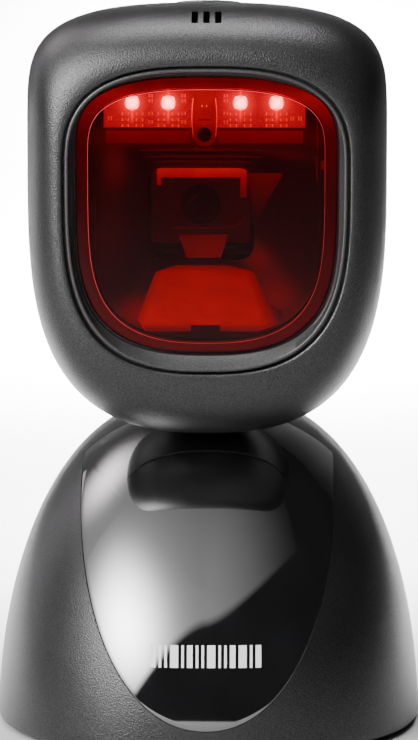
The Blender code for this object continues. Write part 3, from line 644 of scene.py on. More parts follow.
def lamp_haze(name):
    """The pink bloom round the lamps: strongest in the middle, with a faint upright streak through each."""
    s = Shader(name)
    halo = lamp_glow(s, 1.0)
    streak = s.times(lamp_glow(s, 0.14, 0.0, 0.04), 0.8)
    flare = s.span(s.noise(1.2, 2), 0.3, 0.7, 0.8, 1.0)
    core = s.span(halo, 0.2, 0.7)
    fade = s.span(s.apart(s.axes()[2], LED_Z), 4.5, 2.5)
    glow = s.times(s.span(s.plus(halo, streak), 0.015, 0.6), fade)
    s.see_through(s.times(glow, flare))
    return s.put(
        Base_Color=(0, 0, 0, 1),
        Roughness=s.span(flare, 0.8, 1.0, 0.4, 0.6),
        Specular_IOR_Level=0.0,
        Emission_Color=s.mix(core, (1.0, 0.0, 0.14), (0.6, 1.0, 0.85)),
        Emission_Strength=s.span(core, 0, 1, 4.0, 90.0),
    )


def metal(name, colour, roughness):
    """Plated metal with fine drawn lines and a little tarnish."""
    s = Shader(name)
    lines = s.noise(0.25, 3, (1, 1, 0.05))
    tarnish = s.noise(5, 4)
    dulled = s.span(tarnish, 0.3, 0.7, roughness - 0.08, roughness + 0.08)
    return s.put(
        Base_Color=s.mix(s.span(tarnish, 0.35, 0.7), colour, tinted(colour, 0.72)),
        Metallic=1.0,
        Roughness=s.math("MULTIPLY_ADD", lines, 0.18, dulled),
        Normal=s.bump(lines, 0.006),
    )


def soft(name, colour, roughness, pore, depth):
    """Rubber or foam: open pores and a dusty, uneven tone."""
    s = Shader(name)
    dusty = s.noise(4, 4)
    return s.put(
        Base_Color=s.mix(s.span(dusty, 0.35, 0.7), colour, tinted(colour, 1.9)),
        Roughness=s.span(dusty, 0.3, 0.7, roughness - 0.08, min(1.0, roughness + 0.06)),
        Normal=s.bump(s.cells(pore), depth),
    )


def circuit_board(name):
    """Green glass-fibre board with tracks under the solder mask."""
    s = Shader(name)
    weave, tracks = s.noise(0.4, 2, (1, 1, 2.5)), copper_tracks(s, 3, 0.7)
    return s.put(
        Base_Color=s.mix(tracks, (0.012, 0.09, 0.035), (0.03, 0.2, 0.07)),
        Roughness=s.span(weave, 0.3, 0.7, 0.3, 0.5),
        Normal=s.bump(s.plus(tracks, weave), 0.03),
    )


def coated_glass(name):
    """A lens with a violet anti-reflection coat."""
    s = Shader(name)
    smear = s.noise(1.5, 3)
    return s.put(
        Base_Color=s.mix(s.span(smear, 0.3, 0.7), (0.012, 0.008, 0.03), (0.02, 0.012, 0.045)),
        Roughness=s.span(smear, 0.3, 0.75, 0.06, 0.14),
        Specular_IOR_Level=0.12,
        Coat_Weight=0.12,
        Coat_Tint=(0.75, 0.6, 1.0, 1),
    )


def printed_white(name):
    """White ink, a little worn."""
    s = Shader(name)
    return s.put(
        Base_Color=s.mix(s.noise(0.15, 2), (0.62, 0.62, 0.62), (0.8, 0.8, 0.8)),
        Roughness=s.span(s.noise(0.3, 2), 0.3, 0.7, 0.35, 0.5),
    )


def make_finishes():
    return {
        "charcoal": moulded("charcoal_textured", (0.008, 0.0077, 0.008), 0.32, 0.22, 0.05),
        "gloss": gloss_black("gloss_black"),
        "bezel": moulded("bezel_satin", (0.022, 0.0215, 0.0215), 0.38, 0.22, 0.012),
        "black": moulded("black_plastic", (0.012, 0.011, 0.012), 0.5, 0.3),
        "window": red_window("red_window"),
        "ramp": lit_ramp("lit_ramp"),
        "board": circuit_board("circuit_board"),
        "led": lamp("lamp_face"),
        "steel": metal("zinc_steel", (0.6, 0.6, 0.62), 0.32),
        "rubber": soft("pad_rubber", (0.02, 0.02, 0.021), 0.8, 0.5, 0.05),
        "foam": soft("foam_seal", (0.025, 0.024, 0.025), 0.9, 0.35, 0.12),
        "lens": coated_glass("coated_lens"),
        "white": moulded("natural_nylon", (0.72, 0.7, 0.64), 0.42, 0.3, 0.01, 0.06),
    }


# ---------------------------------------------------------------- stand


def bell_section(z, inset):
    """Half-width, half-depth and centre y of the bell at one level."""
    level = max(z, 0) / (BELL_HEIGHT - inset)
    narrowing = (1 - level**2) ** (1 / BELL_POWER)
    centre_y = BELL_LEAN * (max(z, 0) / BELL_HEIGHT) ** 2
    return (BASE_HALF_WIDTH - inset) * narrowing, (BASE_HALF_DEPTH - inset) * narrowing, centre_y


def oval_point(angle, half_x, half_y, centre_y, z, powers=(OVAL_POWER, OVAL_POWER)):
    x = half_x * signed_power(cos(angle), 2 / powers[0])
    return Vector((x, centre_y + half_y * signed_power(sin(angle), 2 / powers[1]), z))


BELL_ANGLES = even_angles(lambda angle: oval_point(angle, BASE_HALF_WIDTH, BASE_HALF_DEPTH, 0, 0), 176)


def bell_ring(z, inset):
    half_x, half_y, centre_y = bell_section(z, inset)
    return [oval_point(angle, half_x, half_y, centre_y, z) for angle in BELL_ANGLES]


def bell_point(x, z):
    """The bell's front surface, seen along Y at (x, z)."""
    half_x, half_y, centre_y = bell_section(z, 0)
    inside = max(0.0, 1 - abs(x / half_x) ** OVAL_POWER)
    return Vector((x, centre_y - half_y * inside ** (1 / OVAL_POWER), z))


def bell_normal(x, z, step=0.02):
    across = bell_point(x + step, z) - bell_point(x - step, z)
    along = bell_point(x, z + step) - bell_point(x, z - step)
    return across.cross(along).normalized()


def lifted(x, z, height):
    """A point over the bell's front surface."""
    return bell_point(x, z) + bell_normal(x, z) * height


def panel_outline(grow):
    """The tongue's edge on the bell: a U below, upright sides, and a cross-cut short of the neck."""
    half_width = PANEL_HIGH.x + grow
    drop = PANEL_WIDEST_Z - PANEL_LOW.z + grow
    rear_y = PANEL_HIGH.y + grow

    def rear_z(x):
        low, high = PANEL_WIDEST_Z, BELL_HEIGHT * 0.9999
        for _ in range(40):
            middle = (low + high) / 2
            if abs(x) < bell_section(middle, 0)[0] and bell_point(x, middle).y < rear_y:
                low = middle
            else:
                high = middle
        return low

    points = []
    for i in range(401):
        angle = pi * i / 400
        x = half_width * signed_power(cos(angle), 2 / PANEL_POWER)
        points.append((x, PANEL_WIDEST_Z - drop * signed_power(sin(angle), 2 / PANEL_POWER)))
    rise = rear_z(half_width) - PANEL_WIDEST_Z
    points += [(-half_width, PANEL_WIDEST_Z + rise * i / 20) for i in range(1, 20)]
    crossing = [-half_width * cos(pi * i / 100) for i in range(101)]
    points += [(x, rear_z(x)) for x in crossing]
    points += [(half_width, PANEL_WIDEST_Z + rise * (1 - i / 20)) for i in range(1, 20)]
    points.append(points[0])
    stops = even_steps([bell_point(*point) for point in points], PANEL_STEPS)
    return [tuple(a + (b - a) * share for a, b in zip(points[k], points[k + 1])) for k, share in stops]


PANEL_SHARES = [0.02, 0.08, 0.16, 0.24, 0.32, 0.4, 0.48, 0.56, 0.64, 0.72, 0.79, 0.86, 0.92, 0.97]


def panel_rings(outline, height, shares=PANEL_SHARES):
    """Rings from the middle of the tongue out to its edge, at a height over the bell."""
    start = asin(32 / BELL_HEIGHT)
    rings = []
    for share in shares:
        ring = []
        for x, z in outline:
            level = BELL_HEIGHT * sin(start + (asin(z / BELL_HEIGHT) - start) * share)
            ring.append(lifted(x * share, level, height))
        rings.append(ring)
    return rings


def make_front_panel():
    fillet = 0.2
    edge = panel_outline(GAP * 0.8)
    points = [bell_point(x, z) for x, z in edge]
    normals = [bell_normal(x, z) for x, z in edge]
    inward = []
    for i, normal in enumerate(normals):
        tangent = (points[(i + 1) % PANEL_STEPS] - points[i - 1]).normalized()
        inward.append(tangent.cross(normal).normalized())
    if inward[0].x > 0:
        inward = [-direction for direction in inward]
    inner = [p + d * fillet for p, d in zip(points, inward)]
    inner_edge = [(p.x, p.z) for p in inner]
    rings = panel_rings(inner_edge, 0, PANEL_SHARES + [1.0])
    rim = list(zip(rings[-1], inward, normals))
    for out, down in quarter(15, 30, 45, 60, 75, 90):
        rings.append([q - d * fillet * out - n * fillet * down for q, d, n in rim])
    rings.append([p - n * PANEL_THICKNESS for p, n in zip(points, normals)])
    rings += reversed(panel_rings(inner_edge, -PANEL_THICKNESS))
    wear(loft("gloss_front_panel", rings, sharp=50), "base", "gloss", "front_panel")


def make_panel_mark():
    """A plain striped mark printed where such a panel carries one."""
    widths = [1.1, 0.5, 0.5, 1.6, 0.5, 1.1, 0.5, 0.5, 1.6, 0.5, 0.5, 1.1, 1.6, 0.5, 1.1]
    space = 0.62
    low_z, high_z, rows = 17.7, 22.0, 8
    levels = [low_z + (high_z - low_z) * row / rows for row in range(rows + 1)]
    bars, x = [], -(sum(widths) + space * (len(widths) - 1)) / 2
    for width in widths:
        sides = [(x, z) for z in levels] + [(x + width, z) for z in reversed(levels)]
        rings = [[lifted(*side, height) for side in sides] for height in (-0.02, 0.03)]
        bars.append(loft(f"bar_{len(bars)}", rings))
        x += width + space
    wear(joined("panel_mark", bars), "base", printed_white("print_white"), slot="white")


def make_base_housing():
    chamfer = 0.7
    top = radians(80)
    rings = []
    for i in range(26, -1, -1):
        z = max(RIM_Z, (BELL_HEIGHT - BASE_WALL) * sin(top * i / 26))
        rings.append(bell_ring(z, BASE_WALL))
    for out, up in quarter(0, 30, 60, 90):
        rings.append(bell_ring(RIM_Z + chamfer * up, chamfer * (1 - out)))
    rings += [bell_ring(BELL_HEIGHT * sin(top * i / 56), 0) for i in range(2, 57)]
    shell = loft("stand_shell", rings)
    wall = panel_outline(GAP)
    outer, floor = (panel_rings(wall, height, [*PANEL_SHARES, 1.0]) for height in (2.5, -1.5))
    carve(shell, loft("panel_recess", outer + floor[::-1]))
    reach = Vector((DRUM_HALF_WIDTH + 0.6, DRUM_RADIUS + 0.6, 0))
    low, high = PIVOT - reach, PIVOT + reach
    low.z, high.z = PIVOT.z + 2, BELL_HEIGHT + 5
    drum_slot = block("drum_slot", low, high, 0.6)
    low, high = (JACK_LOW.x - 0.4, 38, JACK_LOW.z - 0.4), (JACK_HIGH.x + 0.4, 55, JACK_HIGH.z + 0.4)
    carve(shell, drum_slot, block("jack_window", low, high, 0.8))
    wear(shell, "base", "charcoal", "base_housing")


NECK_POWERS = (5, 4)
NECK_SIZE = (NECK_HALF_WIDTH, NECK_HALF_DEPTH)
NECK_ANGLES = even_angles(lambda angle: oval_point(angle, *NECK_SIZE, 0, 0, NECK_POWERS), 96)


def neck_ring(z, wider, deeper):
    half_x, half_y = NECK_HALF_WIDTH + wider, NECK_HALF_DEPTH + deeper
    return [oval_point(angle, half_x, half_y, PIVOT.y, z, NECK_POWERS) for angle in NECK_ANGLES]


def make_neck():
    """The stalk and hinge drum."""
    edge, foot_z, flare_height = 0.8, PIVOT.z + 3, 16
    profile = [(edge * along, DRUM_RADIUS - edge + edge * out) for out, along in quarter(0, 30, 60, 90)]
    profile += [(2 * DRUM_HALF_WIDTH - along, radius) for along, radius in reversed(profile)]
    drum = turned("neck_with_drum", PIVOT - Vector((DRUM_HALF_WIDTH, 0, 0)), (1, 0, 0), profile, 96)
    rings = []
    for i in range(25):
        z = foot_z + (NECK_TOP_Z - foot_z) * i / 24
        flare = 1.6 * max(0.0, 1 - (z - foot_z) / flare_height) ** 2
        rings.append(neck_ring(z, flare * 0.2, flare))
    combine(drum, loft("stalk", rings), "UNION")
    wear(drum, "head", "charcoal", "neck")


def drive_screw(name, seat, direction, head_radius, head_height, shaft_radius, length):
    """A pan-head screw with a six-lobed recess. Direction points from the seat along the shaft."""
    direction = Vector(direction)
    top = Vector(seat) - direction * head_height
    crown = [(0, 0.55), (0.1, 0.78), (0.35, 0.94), (0.7, 1), (1, 1)]
    profile = [(head_height * along, head_radius * share) for along, share in crown]
    shaft = [(0, 1), (0.96, 1), (1, 0.6)]
    profile += [(head_height + length * along, shaft_radius * share) for along, share in shaft]
    made = turned(name, top, direction, profile, 32)
    turn = direction.to_track_quat("Z", "Y").to_matrix()
    rings = []
    for along in (-0.5, head_height * 0.6):
        ring = []
        for angle in turns(48):
            radius = head_radius * (0.4 + 0.07 * cos(6 * angle))
            ring.append(top + turn @ Vector((radius * cos(angle), radius * sin(angle), along)))
        rings.append(ring)
    return carve(made, loft("recess", rings))


def make_screws():
    for i in range(1, 5):
        low, high = box(f"base_screw_{i}")
        x, y, _ = (low + high) / 2
        size = (2.7, 0.8, 1.4, high.z - low.z - 0.8)
        made = drive_screw(f"base_screw_detailed_{i}", (x, y, low.z + 0.8), (0, 0, 1), *size)
        wear(made, "base", "steel", f"base_screw_{i}")
    for i in range(1, 5):
        low, high = box(f"head_screw_{i}")
        x, _, z = (low + high) / 2
        size = (2.6, 1.7, 1.4, high.y - low.y - 1.7)
        made = drive_screw(f"head_screw_detailed_{i}", (x, high.y - 1.7, z), (0, -1, 0), *size)
        wear(made, "head", "steel", f"head_screw_{i}")


def make_jack():
    """The modular jack with its ten sprung contacts."""
    body = block("jack_body", JACK_LOW, JACK_HIGH, 0.35)
    socket = block("socket", (-5.95, 33, 13.6), (5.95, 50, 20.4), 0.2)
    latch = block("latch", (-2.2, 36, 20), (2.2, 50, 22.6), 0.2)
    carve(body, combine(socket, latch, "UNION"))
    wear(body, "base", "black", "cable_jack")
    path = [(45.0, 13.75), (44.5, 14.1), (40.0, 15.1), (35.0, 16.3), (33.2, 16.4)]
    corners = ((-0.18, -0.12), (0.18, -0.12), (0.18, 0.12), (-0.18, 0.12))
    pins = []
    for i in range(10):
        x = (i - 4.5) * 1.02
        pins.append(loft(f"pin_{i}", [[Vector((x + dx, y, z + dz)) for dx, dz in corners] for y, z in path]))
    gold = metal("gold_contact", (0.83, 0.6, 0.22), 0.22)
    wear(joined("jack_contacts", pins), "base", gold, slot="steel")


# ---------------------------------------------------------------- head


HEAD_ANGLES = even(HEAD, 208)


def head_front_rings(inset, steps):
    face, waist = OPENING.grown(FACE_LAND), HEAD.grown(-inset)
    front_y = FACE_Y + inset
    rings = []
    for out, back in quarter(*(90 * i / steps for i in range(steps + 1))):
        y = front_y + (WAIST_Y - front_y) * back
        pairs = zip(face.ring(y, HEAD_ANGLES), waist.ring(y, HEAD_ANGLES))
        rings.append([a.lerp(b, out) for a, b in pairs])
    return rings


def head_rear_ring(share, inset):
    """One ring of the rear half: share runs from 0 at the waist to 1 at the back."""
    side = (1 - share**2.6) ** (1 / 2.2)
    up = (1 - share**2.8) ** (1 / 2.2)
    down = (1 - share**1.6) ** (1 / 2.5)
    y = WAIST_Y + (BACK_Y - inset - WAIST_Y) * share
    return HEAD.grown(-inset).scaled(side, up, down).ring(y, HEAD_ANGLES)


def rear_share(y, inset=0):
    return (y - WAIST_Y) / (BACK_Y - inset - WAIST_Y)


def back_rings(y, inset, reach, shares, start_inset=0):
    """Rings from a level back to a reach just short of the end, by shares of the way."""
    start = rear_share(y, start_inset)
    return [head_rear_ring(start + (1 - start) * share * reach, inset) for share in shares]


def make_front_housing():
    """From the parting line round the swollen face to the opening's lip, and back inside."""
    rings = [head_rear_ring(rear_share(PARTING_Y), PARTING_GROOVE)]
    rings += [head_rear_ring(rear_share(PARTING_Y - back), 0) for back in (PARTING_GROOVE, 2.5)]
    rings += reversed(head_front_rings(0, 26))
    for grow, back in ((0.35, 0.02), (0.2, 0.06), (0.08, 0.15), (0.0, 0.32), (0.0, 2.2)):
        rings.append(OPENING.grown(grow).ring(FACE_Y + back, HEAD_ANGLES))
    rings += head_front_rings(HEAD_WALL, 10)
    rings.append(head_rear_ring(rear_share(PARTING_Y, HEAD_WALL), HEAD_WALL))
    shell = loft("face_shell", rings, closed_loop=True)
    for i in (-1, 0, 1):
        slot = block(f"grille_{i}", -GRILLE_HALF, GRILLE_HALF, 0.2)
        carve(shell, moved(slot, shift(i * GRILLE_PITCH, 0, 0) @ GRILLE))
    wear(shell, "head", "charcoal", "front_housing")


def button_oval(half_x, half_y, z):
    return [oval_point(angle, half_x, half_y, 0, z, (2, 2)) for angle in turns(72)]


def make_rear_housing():
    shares = [1 - (1 - i / 40) ** 2 for i in range(41)]
    rings = back_rings(REAR_FRONT_Y + PARTING_GROOVE, 0, 0.9995, reversed(shares))
    rings.append(head_rear_ring(rear_share(REAR_FRONT_Y), PARTING_GROOVE))
    rings += back_rings(REAR_FRONT_Y, HEAD_WALL, 0.998, shares[::2], HEAD_WALL)
    shell = loft("back_shell", rings)
    for x, z, floor_y in HEAD_SCREWS:
        for place in ((-x, REAR_FRONT_Y + 0.1, z), (x, REAR_FRONT_Y + 0.1, z)):
            boss = peg("boss", place, 4.2, 12 - REAR_FRONT_Y)
            trim = loft("trim", back_rings(REAR_FRONT_Y, 1.2, 0.999, shares[::2]))
            combine(shell, combine(boss, trim, "INTERSECT"), "UNION")
            sink = peg("sink", (place[0], floor_y, z), 3.1, 40)
            carve(shell, sink, peg("bore", (place[0], -25, z), 1.75, 40, 32))
    carve(shell, loft("neck_hole", [neck_ring(z, 0.35, 0.35) for z in (68, NECK_TOP_Z + 0.5)]))
    for name, half_x, half_y, floor_z in (("button_seat", 7.1, 5.1, -0.75), ("button_hole", 5.4, 3.4, -4)):
        cutter = loft(name, [button_oval(half_x, half_y, z) for z in (floor_z, 4)])
        carve(shell, moved(cutter, BUTTON))
    wear(shell, "head", "charcoal", "rear_housing")


def make_button():
    half_x, half_y, edge_z, rise = 6.6, 4.6, 0.3, 0.29
    sizes = [(5.0, 3.0, -3.6), (5.0, 3.0, -0.4), (5.8, 3.8, -0.1), (6.45, 4.45, 0.0)]
    sizes += [(half_x, half_y, 0.12), (half_x, half_y, edge_z)]
    for up, inward in quarter(20, 40, 60, 75, 88):
        shrink = 1 - 0.42 * inward
        sizes.append((half_x * shrink, half_y * shrink, edge_z + rise * up))
    sizes.append((1.2, 0.8, 0.68))
    cap = loft("button_cap_domed", [button_oval(*size) for size in sizes])
    wear(moved(cap, BUTTON), "button", "bezel", "button_cap")


def make_bezel():
    lip = [(-0.42, -36.4), (-0.42, -38.35), (-0.5, -38.56), (-0.66, -38.68), (-0.95, -38.7), (-1.12, -38.62)]
    seat = [(0.72, -36.62), (0.52, -36.45), (0.4, -36.2), (0.4, -34.5), (-1.9, -34.5), (-1.9, -33.4)]
    section = [(OPENING, *place) for place in lip] + [(WINDOW, *place) for place in seat]
    section += [(OPENING, 0.9, -33.4), (OPENING, 0.9, -36.4)]
    wear(swept("bezel_frame", section, 208), "head", "bezel", "bezel_ring")


def make_window():
    """The pane: its middle stands a little proud of its flange, and a painted highlight, a thin glowing bead, runs
    round that edge.
    """
    flange_y, raised_y = -36.08, -36.2
    angles = even(WINDOW, 192)
    raised = [(-4, raised_y), (-0.1, raised_y), (0, flange_y)]
    rings = [STEP.grown(grow).ring(y, angles) for grow, y in raised]
    back = [(-0.45, flange_y), (-0.2, -36.04), (-0.05, -35.9), (0, -35.7), (0, -34.85)]
    back += [(-2.35, -34.85), (-2.5, -34.6), (-2.6, -33.8), (-2.75, -33.7), (-6.0, -33.7)]
    rings += [WINDOW.grown(grow).ring(y, angles) for grow, y in back]
    wear(loft("red_pane", rings), "head", "window", "scan_window")

    # Painted highlight: a thin bead on the raised edge glows, brighter higher up, in place of the lamps' glint on
    # that edge.
    levels = [(78, 0.28), (110, 0.2), (124, 0.35), (129, 0.9), (133, 1.1)]
    glint_section = [(0.01, -36.12), (-0.03, -36.18), (-0.08, -36.2), (-0.03, -36.12)]
    line = swept("pane_step_glint", [(STEP, *place) for place in glint_section], 192)
    lit(line, "window", "step_glint_painted", (0.4, 0.02, 0.02), levels, roughness=0.3, tint=(1.0, 0.05, 0.09))

    levels = [(78, 0.15), (90, 0.08), (110, 0.05), (122, 0.12), (126.5, 0.4), (129.5, 0.6), (132, 0.25)]
    band = [(-0.15, -34.76), (-0.15, -34.62), (-2.2, -34.62), (-2.2, -34.76)]
    tape = swept("pane_adhesive", [(WINDOW, *place) for place in band], 192)
    lit(tape, "window", "adhesive_lit", (0.05, 0.01, 0.012), levels, roughness=0.6, tint=(1.0, 0.0, 0.1))


# ---------------------------------------------------------------- optics


def tunnel_share(y):
    return (y - SHROUD_LOW.y) / (SHROUD_HIGH.y - SHROUD_LOW.y)


def tunnel_ring(share, angles, grow=0.0):
    """A ring between the tunnel's two ends. It moves over to the imager towards the back."""
    y = SHROUD_LOW.y + (SHROUD_HIGH.y - SHROUD_LOW.y) * share
    aside = Vector((IMAGER_X * share, 0, 0))
    pairs = zip(TUNNEL_MOUTH.grown(grow).ring(y, angles), TUNNEL_THROAT.grown(grow).ring(y, angles))
    return [a.lerp(b, share) + aside for a, b in pairs]


def pocket_ring(y):
    """The board's pocket: the window's arch above the shelf, with upright sides."""
    half, count = POCKET_HALF_WIDTH, 64
    arch = [WINDOW.grown(-0.8).point(pi * i / count, 0) for i in range(1, count)]
    arch = [(p.x, p.z) for p in arch if abs(p.x) < half]
    side_z = arch[0][1] - 0.5
    corners = [(half, SHELF_Z), (half, side_z), *arch, (-half, side_z), (-half, SHELF_Z)]
    return [Vector((BOARD_X + x, y, z)) for x, z in corners]


def make_shroud():
    """A black carrier behind the window, with the lamp pocket above and the imager's tunnel below."""
    front, slab = SHROUD_LOW.y, -26.5
    angles, tunnel_angles = even(WINDOW, 128), even(TUNNEL_MOUTH, 160)
    wall = 1.6
    flange = [(0.7, front), (1.0, front + 0.3), (1.0, slab)]
    rings = [WINDOW.grown(grow).ring(y, angles) for grow, y in flange]
    neck = tunnel_ring(tunnel_share(slab), angles, wall)
    for point in neck:
        point.y = slab + 0.2
    rings += [neck, tunnel_ring(1, angles, wall)]
    carrier = loft("imager_carrier", rings)
    tunnel = loft("tunnel", [tunnel_ring(share, tunnel_angles) for share in (-0.06, 0.25, 0.5, 0.75, 1.06)])
    pocket = loft("board_pocket", [pocket_ring(y) for y in (-36, -27.8)])
    notch = block("clamp_notch", (BOARD_X - 2.9, -36, 117), (BOARD_X + 2.9, -29.6, 123), 0.4)
    carve(carrier, tunnel, pocket, notch)
    wear(carrier, "head", lit_carrier("carrier_lit"), "imager_shroud", slot="black")


def make_carrier_details():
    """The lit bar under the lamps, ribs across the tunnel's ceiling, and a clip and a fin at the right."""
    bar_low = Vector((BOARD_X - 19.4, SHROUD_LOW.y - 0.22, 119.8))
    bar_high = Vector((BOARD_X + 19.4, SHROUD_LOW.y - 0.02, SHELF_Z))
    bar = block("lamp_shelf", bar_low, bar_high, 0.08)
    boss = turned("boss", (BOARD_X, bar_low.y, CLAMP_SCREW_Z), (0, 1, 0), [(0, 3.05), (0.2, 3.15)])
    combine(bar, boss, "UNION")
    low, high = (BOARD_X - 2.75, bar_low.y - 1, 119), (BOARD_X + 2.75, bar_high.y + 1, SHELF_Z + 2)
    gap = block("gap", low, high, 0.3)
    floor = peg("floor", (BOARD_X, bar_low.y - 1, CLAMP_SCREW_Z), 2.75, 2)
    carve(bar, combine(gap, floor, "UNION"))
    lit(bar, "black", "shelf_lit", (0.05, 0.01, 0.01), [(119, 0.17), (122.3, 0.33)])

    ribs = []
    mouth, throat = (end.widest_z + end.up for end in (TUNNEL_MOUTH, TUNNEL_THROAT))
    for y in (-26.3, -19.0, -13.0):
        half = 19.5 - (y + 31.9) * 0.42
        z = mouth + (throat - mouth) * tunnel_share(y)
        ribs.append(block("rib", (-half, y, z - 0.5), (half, y + 0.35, z + 0.1), 0.08))
    lit(joined("ceiling_ribs", ribs), "black", "rib_lit", (0.03, 0.01, 0.01), [(112, 0.09), (119, 0.13)])

    edge = wire("clip_edge", [(21.7, -32.2, 125.2), (21.75, -32.2, 121.0), (21.8, -32.2, 118.4)], 0.07)
    leg = wire("clip_leg", [(21.6, -32.2, 117.2), (21.7, -32.2, 115.2), (21.65, -32.2, 112.6)], 0.13)
    pad = block("clip_pad", (22.5, -32.35, 114.6), (23.2, -31.95, 116.4), 0.2)
    clip = joined("side_clip", [edge, leg, pad])
    lit(clip, "black", "clip_lit", (0.1, 0.02, 0.02), [(112, 0.2), (126, 0.32)])

    corners = [(8.0, 112.6), (14.9, 112.6), (10.5, 105.2), (9.2, 103.6)]
    fin = plate("light_fin", corners, [(-18.4, 1), (-18.2, 1)])
    lit(fin, "black", "fin_lit", (0.03, 0.01, 0.01), [(104.5, 0.02), (112.3, 0.17)])
    edge = wire("fin_edge", [(14.9, -18.5, 112.3), (10.6, -18.5, 105.0), (9.2, -18.5, 102.8)], 0.05)
    levels = [(103, 0.1), (112, 0.35)]
    lit(edge, "black", "fin_edge_lit", (0.1, 0.02, 0.02), levels, roughness=0.4, tint=(1.0, 0.1, 0.1))


def make_led_board():
    rings = []
    for y in (-29.6, -28.4):
        ring = pocket_ring(y)
        for point in ring:
            point.x = BOARD_X + (point.x - BOARD_X) * 0.98
            point.z = SHELF_Z + 0.35 + (point.z - SHELF_Z) * 0.95
        rings.append(ring)
    wear(loft("lamp_board", rings), "head", lit_board("lamp_board_mask"), "led_board", slot="board")
    levels = [(120, 1.2), (130, 2.2)]
    package = lit_part("lamp_body_lit", (0.5, 0.3, 0.3), levels, 0.4, (1.0, 0.16, 0.24))
    half, front_y = 1.5, LED_FRONT_Y
    for i, x in enumerate(LED_X, 1):
        x += BOARD_X
        low, high = (x - half, front_y + 0.4, LED_Z - half), (x + half, front_y + 1.1, LED_Z + half)
        wear(block(f"lamp_body_{i}", low, high, 0.12), "head", package, f"led_{i}", slot="led")
        domed = [(1.22, 0.5), (1.22, 0.25), (1.1, 0.07), (0.75, 0.0), (0.3, -0.02)]
        rings = [squircle(x, grow, front_y + back) for grow, back in domed]
        face = wear(loft(f"lamp_face_{i}", rings), "head", "led", slot="led")
        face.visible_diffuse = face.visible_glossy = False
    low = (BOARD_X - 19.2, front_y - 0.37, LED_Z - 4.6)
    high = (BOARD_X + 19.2, front_y - 0.35, LED_Z + 4.2)
    bloom = wear(block("lamp_bloom", low, high), "head", lamp_haze("lamp_bloom"), slot="led")
    bloom.visible_diffuse = bloom.visible_glossy = False


def squircle(x, half, y):
    """A rounded square about a lamp's middle."""
    ring = []
    for angle in turns(40):
        across, along = (half * signed_power(turn(angle), 2 / 5) for turn in (cos, sin))
        ring.append(Vector((x + across, y, LED_Z + along)))
    return ring


def make_board_parts():
    """Rows of small surface-mounted parts under, beside and between the lamps."""
    chips, ends = [], []
    front_y, back_y = -30.15, -29.5

    def chip(x, below, half_x=0.75, half_z=0.27):
        x, z = BOARD_X + x, LED_Z - below
        low, high = (x - half_x * 0.6, front_y, z - half_z), (x + half_x * 0.6, back_y, z + half_z)
        chips.append(block("chip", low, high, 0.06, 1))
        for side in (-1, 1):
            near, far = sorted((x + side * half_x * 0.62, x + side * half_x))
            ends.append(block("end", (near, front_y, z - half_z), (far, back_y, z + half_z), 0.05, 1))

    for lamp_x in LED_X:
        for column in (-1, 1):
            for row in range(3):
                chip(lamp_x + column * 1.4, 2.3 + row * 1.15)
    for x in (-10.6, -4.1, 4.2):
        for below in (2.2, 3.9, -1.3, -0.3):
            chip(x, below, 0.4, 0.34)
    for x in (17.3, 18.8, -18.6):
        chip(x, 3.2, 0.36, 0.4)
    body, tips = joined("board_chips", chips), joined("board_solder", ends)
    levels = [(122, 1.1), (130, 1.9)]
    lit(body, "black", "chip_lit", (0.1, 0.02, 0.02), levels, tint=(1.0, 0.1, 0.16))
    levels = [(122, 1.6), (130, 3.0)]
    lit(tips, "steel", "solder_lit", (0.7, 0.5, 0.5), levels, roughness=0.35, tint=(1.0, 0.2, 0.26))


def make_clamp():
    """The clear tab that holds the board down, with two bright ribs and its screw."""
    radius, top_z = 2.4, 130.6
    turned_end = [radians(180) * i / 24 for i in range(25)]
    tab = [(radius * cos(angle), CLAMP_SCREW_Z - radius * sin(angle)) for angle in turned_end]
    tab += [(-radius, top_z), (radius, top_z)]
    sides = ((-31.5, 0.9), (-31.4, 0.97), (-31.25, 1.0), (-29.9, 1.0))
    rings = [[Vector((BOARD_X + x * scale, y, z)) for x, z in tab] for y, scale in sides]
    clamp = carve(loft("board_tab", rings), peg("hole", (BOARD_X, -33, CLAMP_SCREW_Z), 1.1, 6))
    levels = [(119, 0.2), (122.3, 0.34), (124, 0.7), (131, 1.0)]
    lit(clamp, "ramp", "tab_lit", (0.12, 0.03, 0.03), levels, "board_clamp")

    ribs = []
    for side in (-1, 1):
        bowed = [(2.2 + 0.25 * sin(pi * i / 20), 128.6 - 7.6 * i / 20) for i in range(21)]
        ribs.append(wire("rib", [(BOARD_X + side * bow, -31.5, z) for bow, z in bowed], 0.09))
        ribs.append(wire("tick", [(BOARD_X + side * 0.45, -31.5, z) for z in (127.2, 127.0)], 0.13))
    rib, levels = joined("tab_ribs", ribs), [(121, 0.5), (129, 2.4)]
    lit(rib, "ramp", "tab_rib_lit", (0.6, 0.3, 0.3), levels, roughness=0.3, tint=(1.0, 0.2, 0.22))
    made = drive_screw("tab_screw", (BOARD_X, -31.8, CLAMP_SCREW_Z), (0, 1, 0), 1.4, 0.3, 0.7, 4.4)
    wear(made, "head", "black", "clamp_screw")


